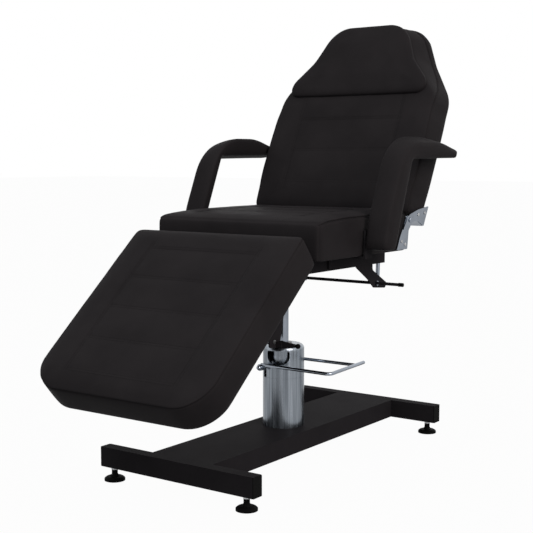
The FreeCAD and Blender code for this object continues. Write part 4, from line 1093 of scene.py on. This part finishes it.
def on_pad(flat, mesh, routes, degrees, origin):
    """Drops flat routes onto a finished pad and takes them to the chair."""
    height = height_over(flat, mesh)
    lines = []
    for route in routes:
        line = [(a, b, height(a, b)) for a, b in route]
        line = np.array([p for p in line if p[2] is not None])
        line[:, 2] += THREAD_LIFT
        lines.append(placed(line, degrees, origin))
    return lines


def channel_routes(spec):
    """A row of stitches on both sides of every sewn line of a pad."""
    routes = []
    for side in (-BESIDE_SEAM, BESIDE_SEAM):
        for c in spec["channels"]:
            routes.append([(a, c + side) for a in np.arange(-PANEL_X + 6, PANEL_X - 5, ROUTE_STEP)])
        for seam in (-PANEL_X, PANEL_X):
            routes.append([(seam + side, b) for b in np.arange(*spec["ends"], ROUTE_STEP)])
    return routes


# %% Stitches on the three pads
stitched = []
for body, pad, flat, spec, place in (
    ("seat", seat_pad, seat_flat, seat_spec, SEAT_PLACE),
    ("leg_rest", leg_pad, leg_flat, leg_spec, LEG_PLACE),
    ("backrest", back_pad, back_flat, back_spec, BACK_PLACE),
):
    rows_of_thread = on_pad(flat, pad.data, channel_routes(spec), *place)
    stitched.append((sewn(body + "_stitches", rows_of_thread), body))
print("stitched", len(stitched), "pads")

# %% [markdown]
# ## What rides on what
# Each cover stands for a CAD solid and moves with its body: the backrest's cover turns with the
# backrest, the leg rest's with the leg rest, and the arms stay on the seat.

# %% Bodies and finishes of the new pieces
covers = [
    (seat_pad, "seat", "seat_cushion", 0.8),
    (leg_pad, "leg_rest", "leg_cushion", 0.8),
    (back_pad, "backrest", "back_cushion", 0.8),
    (pillow, "backrest", "head_pillow", 0.7),
    (arm_pad, "seat", "arm_left", 0.9),
    (arm_pad_right, "seat", "arm_right", 0.9),
]
for piece, body, stands_for, fill in covers:
    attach(piece, body)
    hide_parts(stands_for)
for piece, body in stitched:
    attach(piece, body)
print("covers", len(covers))

# %% [markdown]
# ## Floor and light
# A pale floor and a white surround, as in a product picture. To the camera the floor is nearly
# white. Two large soft lamps stand for a studio: one above the foot end, and a stronger, warmer
# one on the side of the release knobs.

# %% Floor
FLOOR_REACH, FLOOR_GREY = 40, 0.34
WHITE_TO_CAMERA, WHITE_IN_CHROME = 0.97, 0.55
floor_mesh = bpy.data.meshes.new("floor")
corners = [(x * FLOOR_REACH, y * FLOOR_REACH, 0) for x, y in ((-1, -1), (1, -1), (1, 1), (-1, 1))]
floor_mesh.from_pydata(corners, [], [(0, 1, 2, 3)])
floor = new_piece("floor", floor_mesh)
floor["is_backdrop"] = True


def floor_finish():
    """Grey to the lamps, nearly white to the camera, and between the two in the chrome."""
    made, shader, _ = new_material("pale_floor", 0.6, level=0.2)
    tree = made.node_tree
    set_inputs(shader, Base_Color=(FLOOR_GREY, FLOOR_GREY, FLOOR_GREY, 1))
    glow, mix, path, share, seen = (tree.nodes.new("ShaderNode" + kind) for kind in (
        "Emission", "MixShader", "LightPath", "Math", "Math"))
    share.operation = "MULTIPLY"
    share.inputs[1].default_value = WHITE_TO_CAMERA
    seen.operation = "MULTIPLY_ADD"
    seen.use_clamp = True
    seen.inputs[1].default_value = WHITE_IN_CHROME
    wire(
        tree,
        (path, "Is Glossy Ray", seen, 0), (path, "Is Camera Ray", seen, 2), (seen, 0, share, 0),
        (share, 0, mix, "Fac"), (shader, 0, mix, 1), (glow, 0, mix, 2),
        (mix, 0, tree.nodes["Material Output"], "Surface"),
    )
    return made


floor_mesh.materials.append(floor_finish())
print("floor ready")

# %% Surround and lamps
LAMP_WIDTH = 3.0


def surround(level):
    """Lights the chair evenly, and is white where the camera, chrome or glass looks at it."""
    world = bpy.data.worlds.new("surround")
    world.use_nodes = True
    scene.world = world
    tree = world.node_tree
    plain = tree.nodes["Background"]
    white, mix, path, seen, any_seen = (tree.nodes.new("ShaderNode" + kind) for kind in (
        "Background", "MixShader", "LightPath", "Math", "Math"))
    for sky, strength in ((plain, level), (white, 1)):
        set_inputs(sky, Color=(1, 1, 1, 1), Strength=strength)
    for node in (seen, any_seen):
        node.operation = "ADD"
        node.use_clamp = True
    wire(
        tree,
        (path, "Is Camera Ray", seen, 0), (path, "Is Glossy Ray", seen, 1), (seen, 0, any_seen, 0),
        (path, "Is Transmission Ray", any_seen, 1), (any_seen, 0, mix, "Fac"),
        (plain, 0, mix, 1), (white, 0, mix, 2), (mix, 0, tree.nodes["World Output"], "Surface"),
    )


def lamp(name, place, aim_height, power, colour=(1, 1, 1)):
    data = bpy.data.lights.new(name, "AREA")
    data.shape = "RECTANGLE"
    data.size = data.size_y = LAMP_WIDTH
    data.energy = power
    data.color = colour
    made = new_piece(name, data)
    made.location = place
    beam = Vector((0, 0, aim_height)) - Vector(place)
    made.rotation_euler = beam.to_track_quat("-Z", "Y").to_euler()


surround(0.50)
lamp("over", (-0.4, -2.6, 4.2), 0.7, 58)
lamp("knob_side", (4.5, -1.4, 2.9), 0.8, 150, (1.0, 0.92, 0.88))

# %% [markdown]
# ## The size
# The finished chair may stand a few millimetres proud of its CAD box where covers swell, and no more.
# Both boxes are measured, and how far each side has grown is printed.

# %% Size and finish
seen_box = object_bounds()
boxes = {"cad": [list(cad_box[0]), list(cad_box[1])], "visual": [list(seen_box[0]), list(seen_box[1])]}
grown = (np.ravel(boxes["visual"]) - np.ravel(boxes["cad"])) / mm
print("grown by", grown.round(1), "mm")
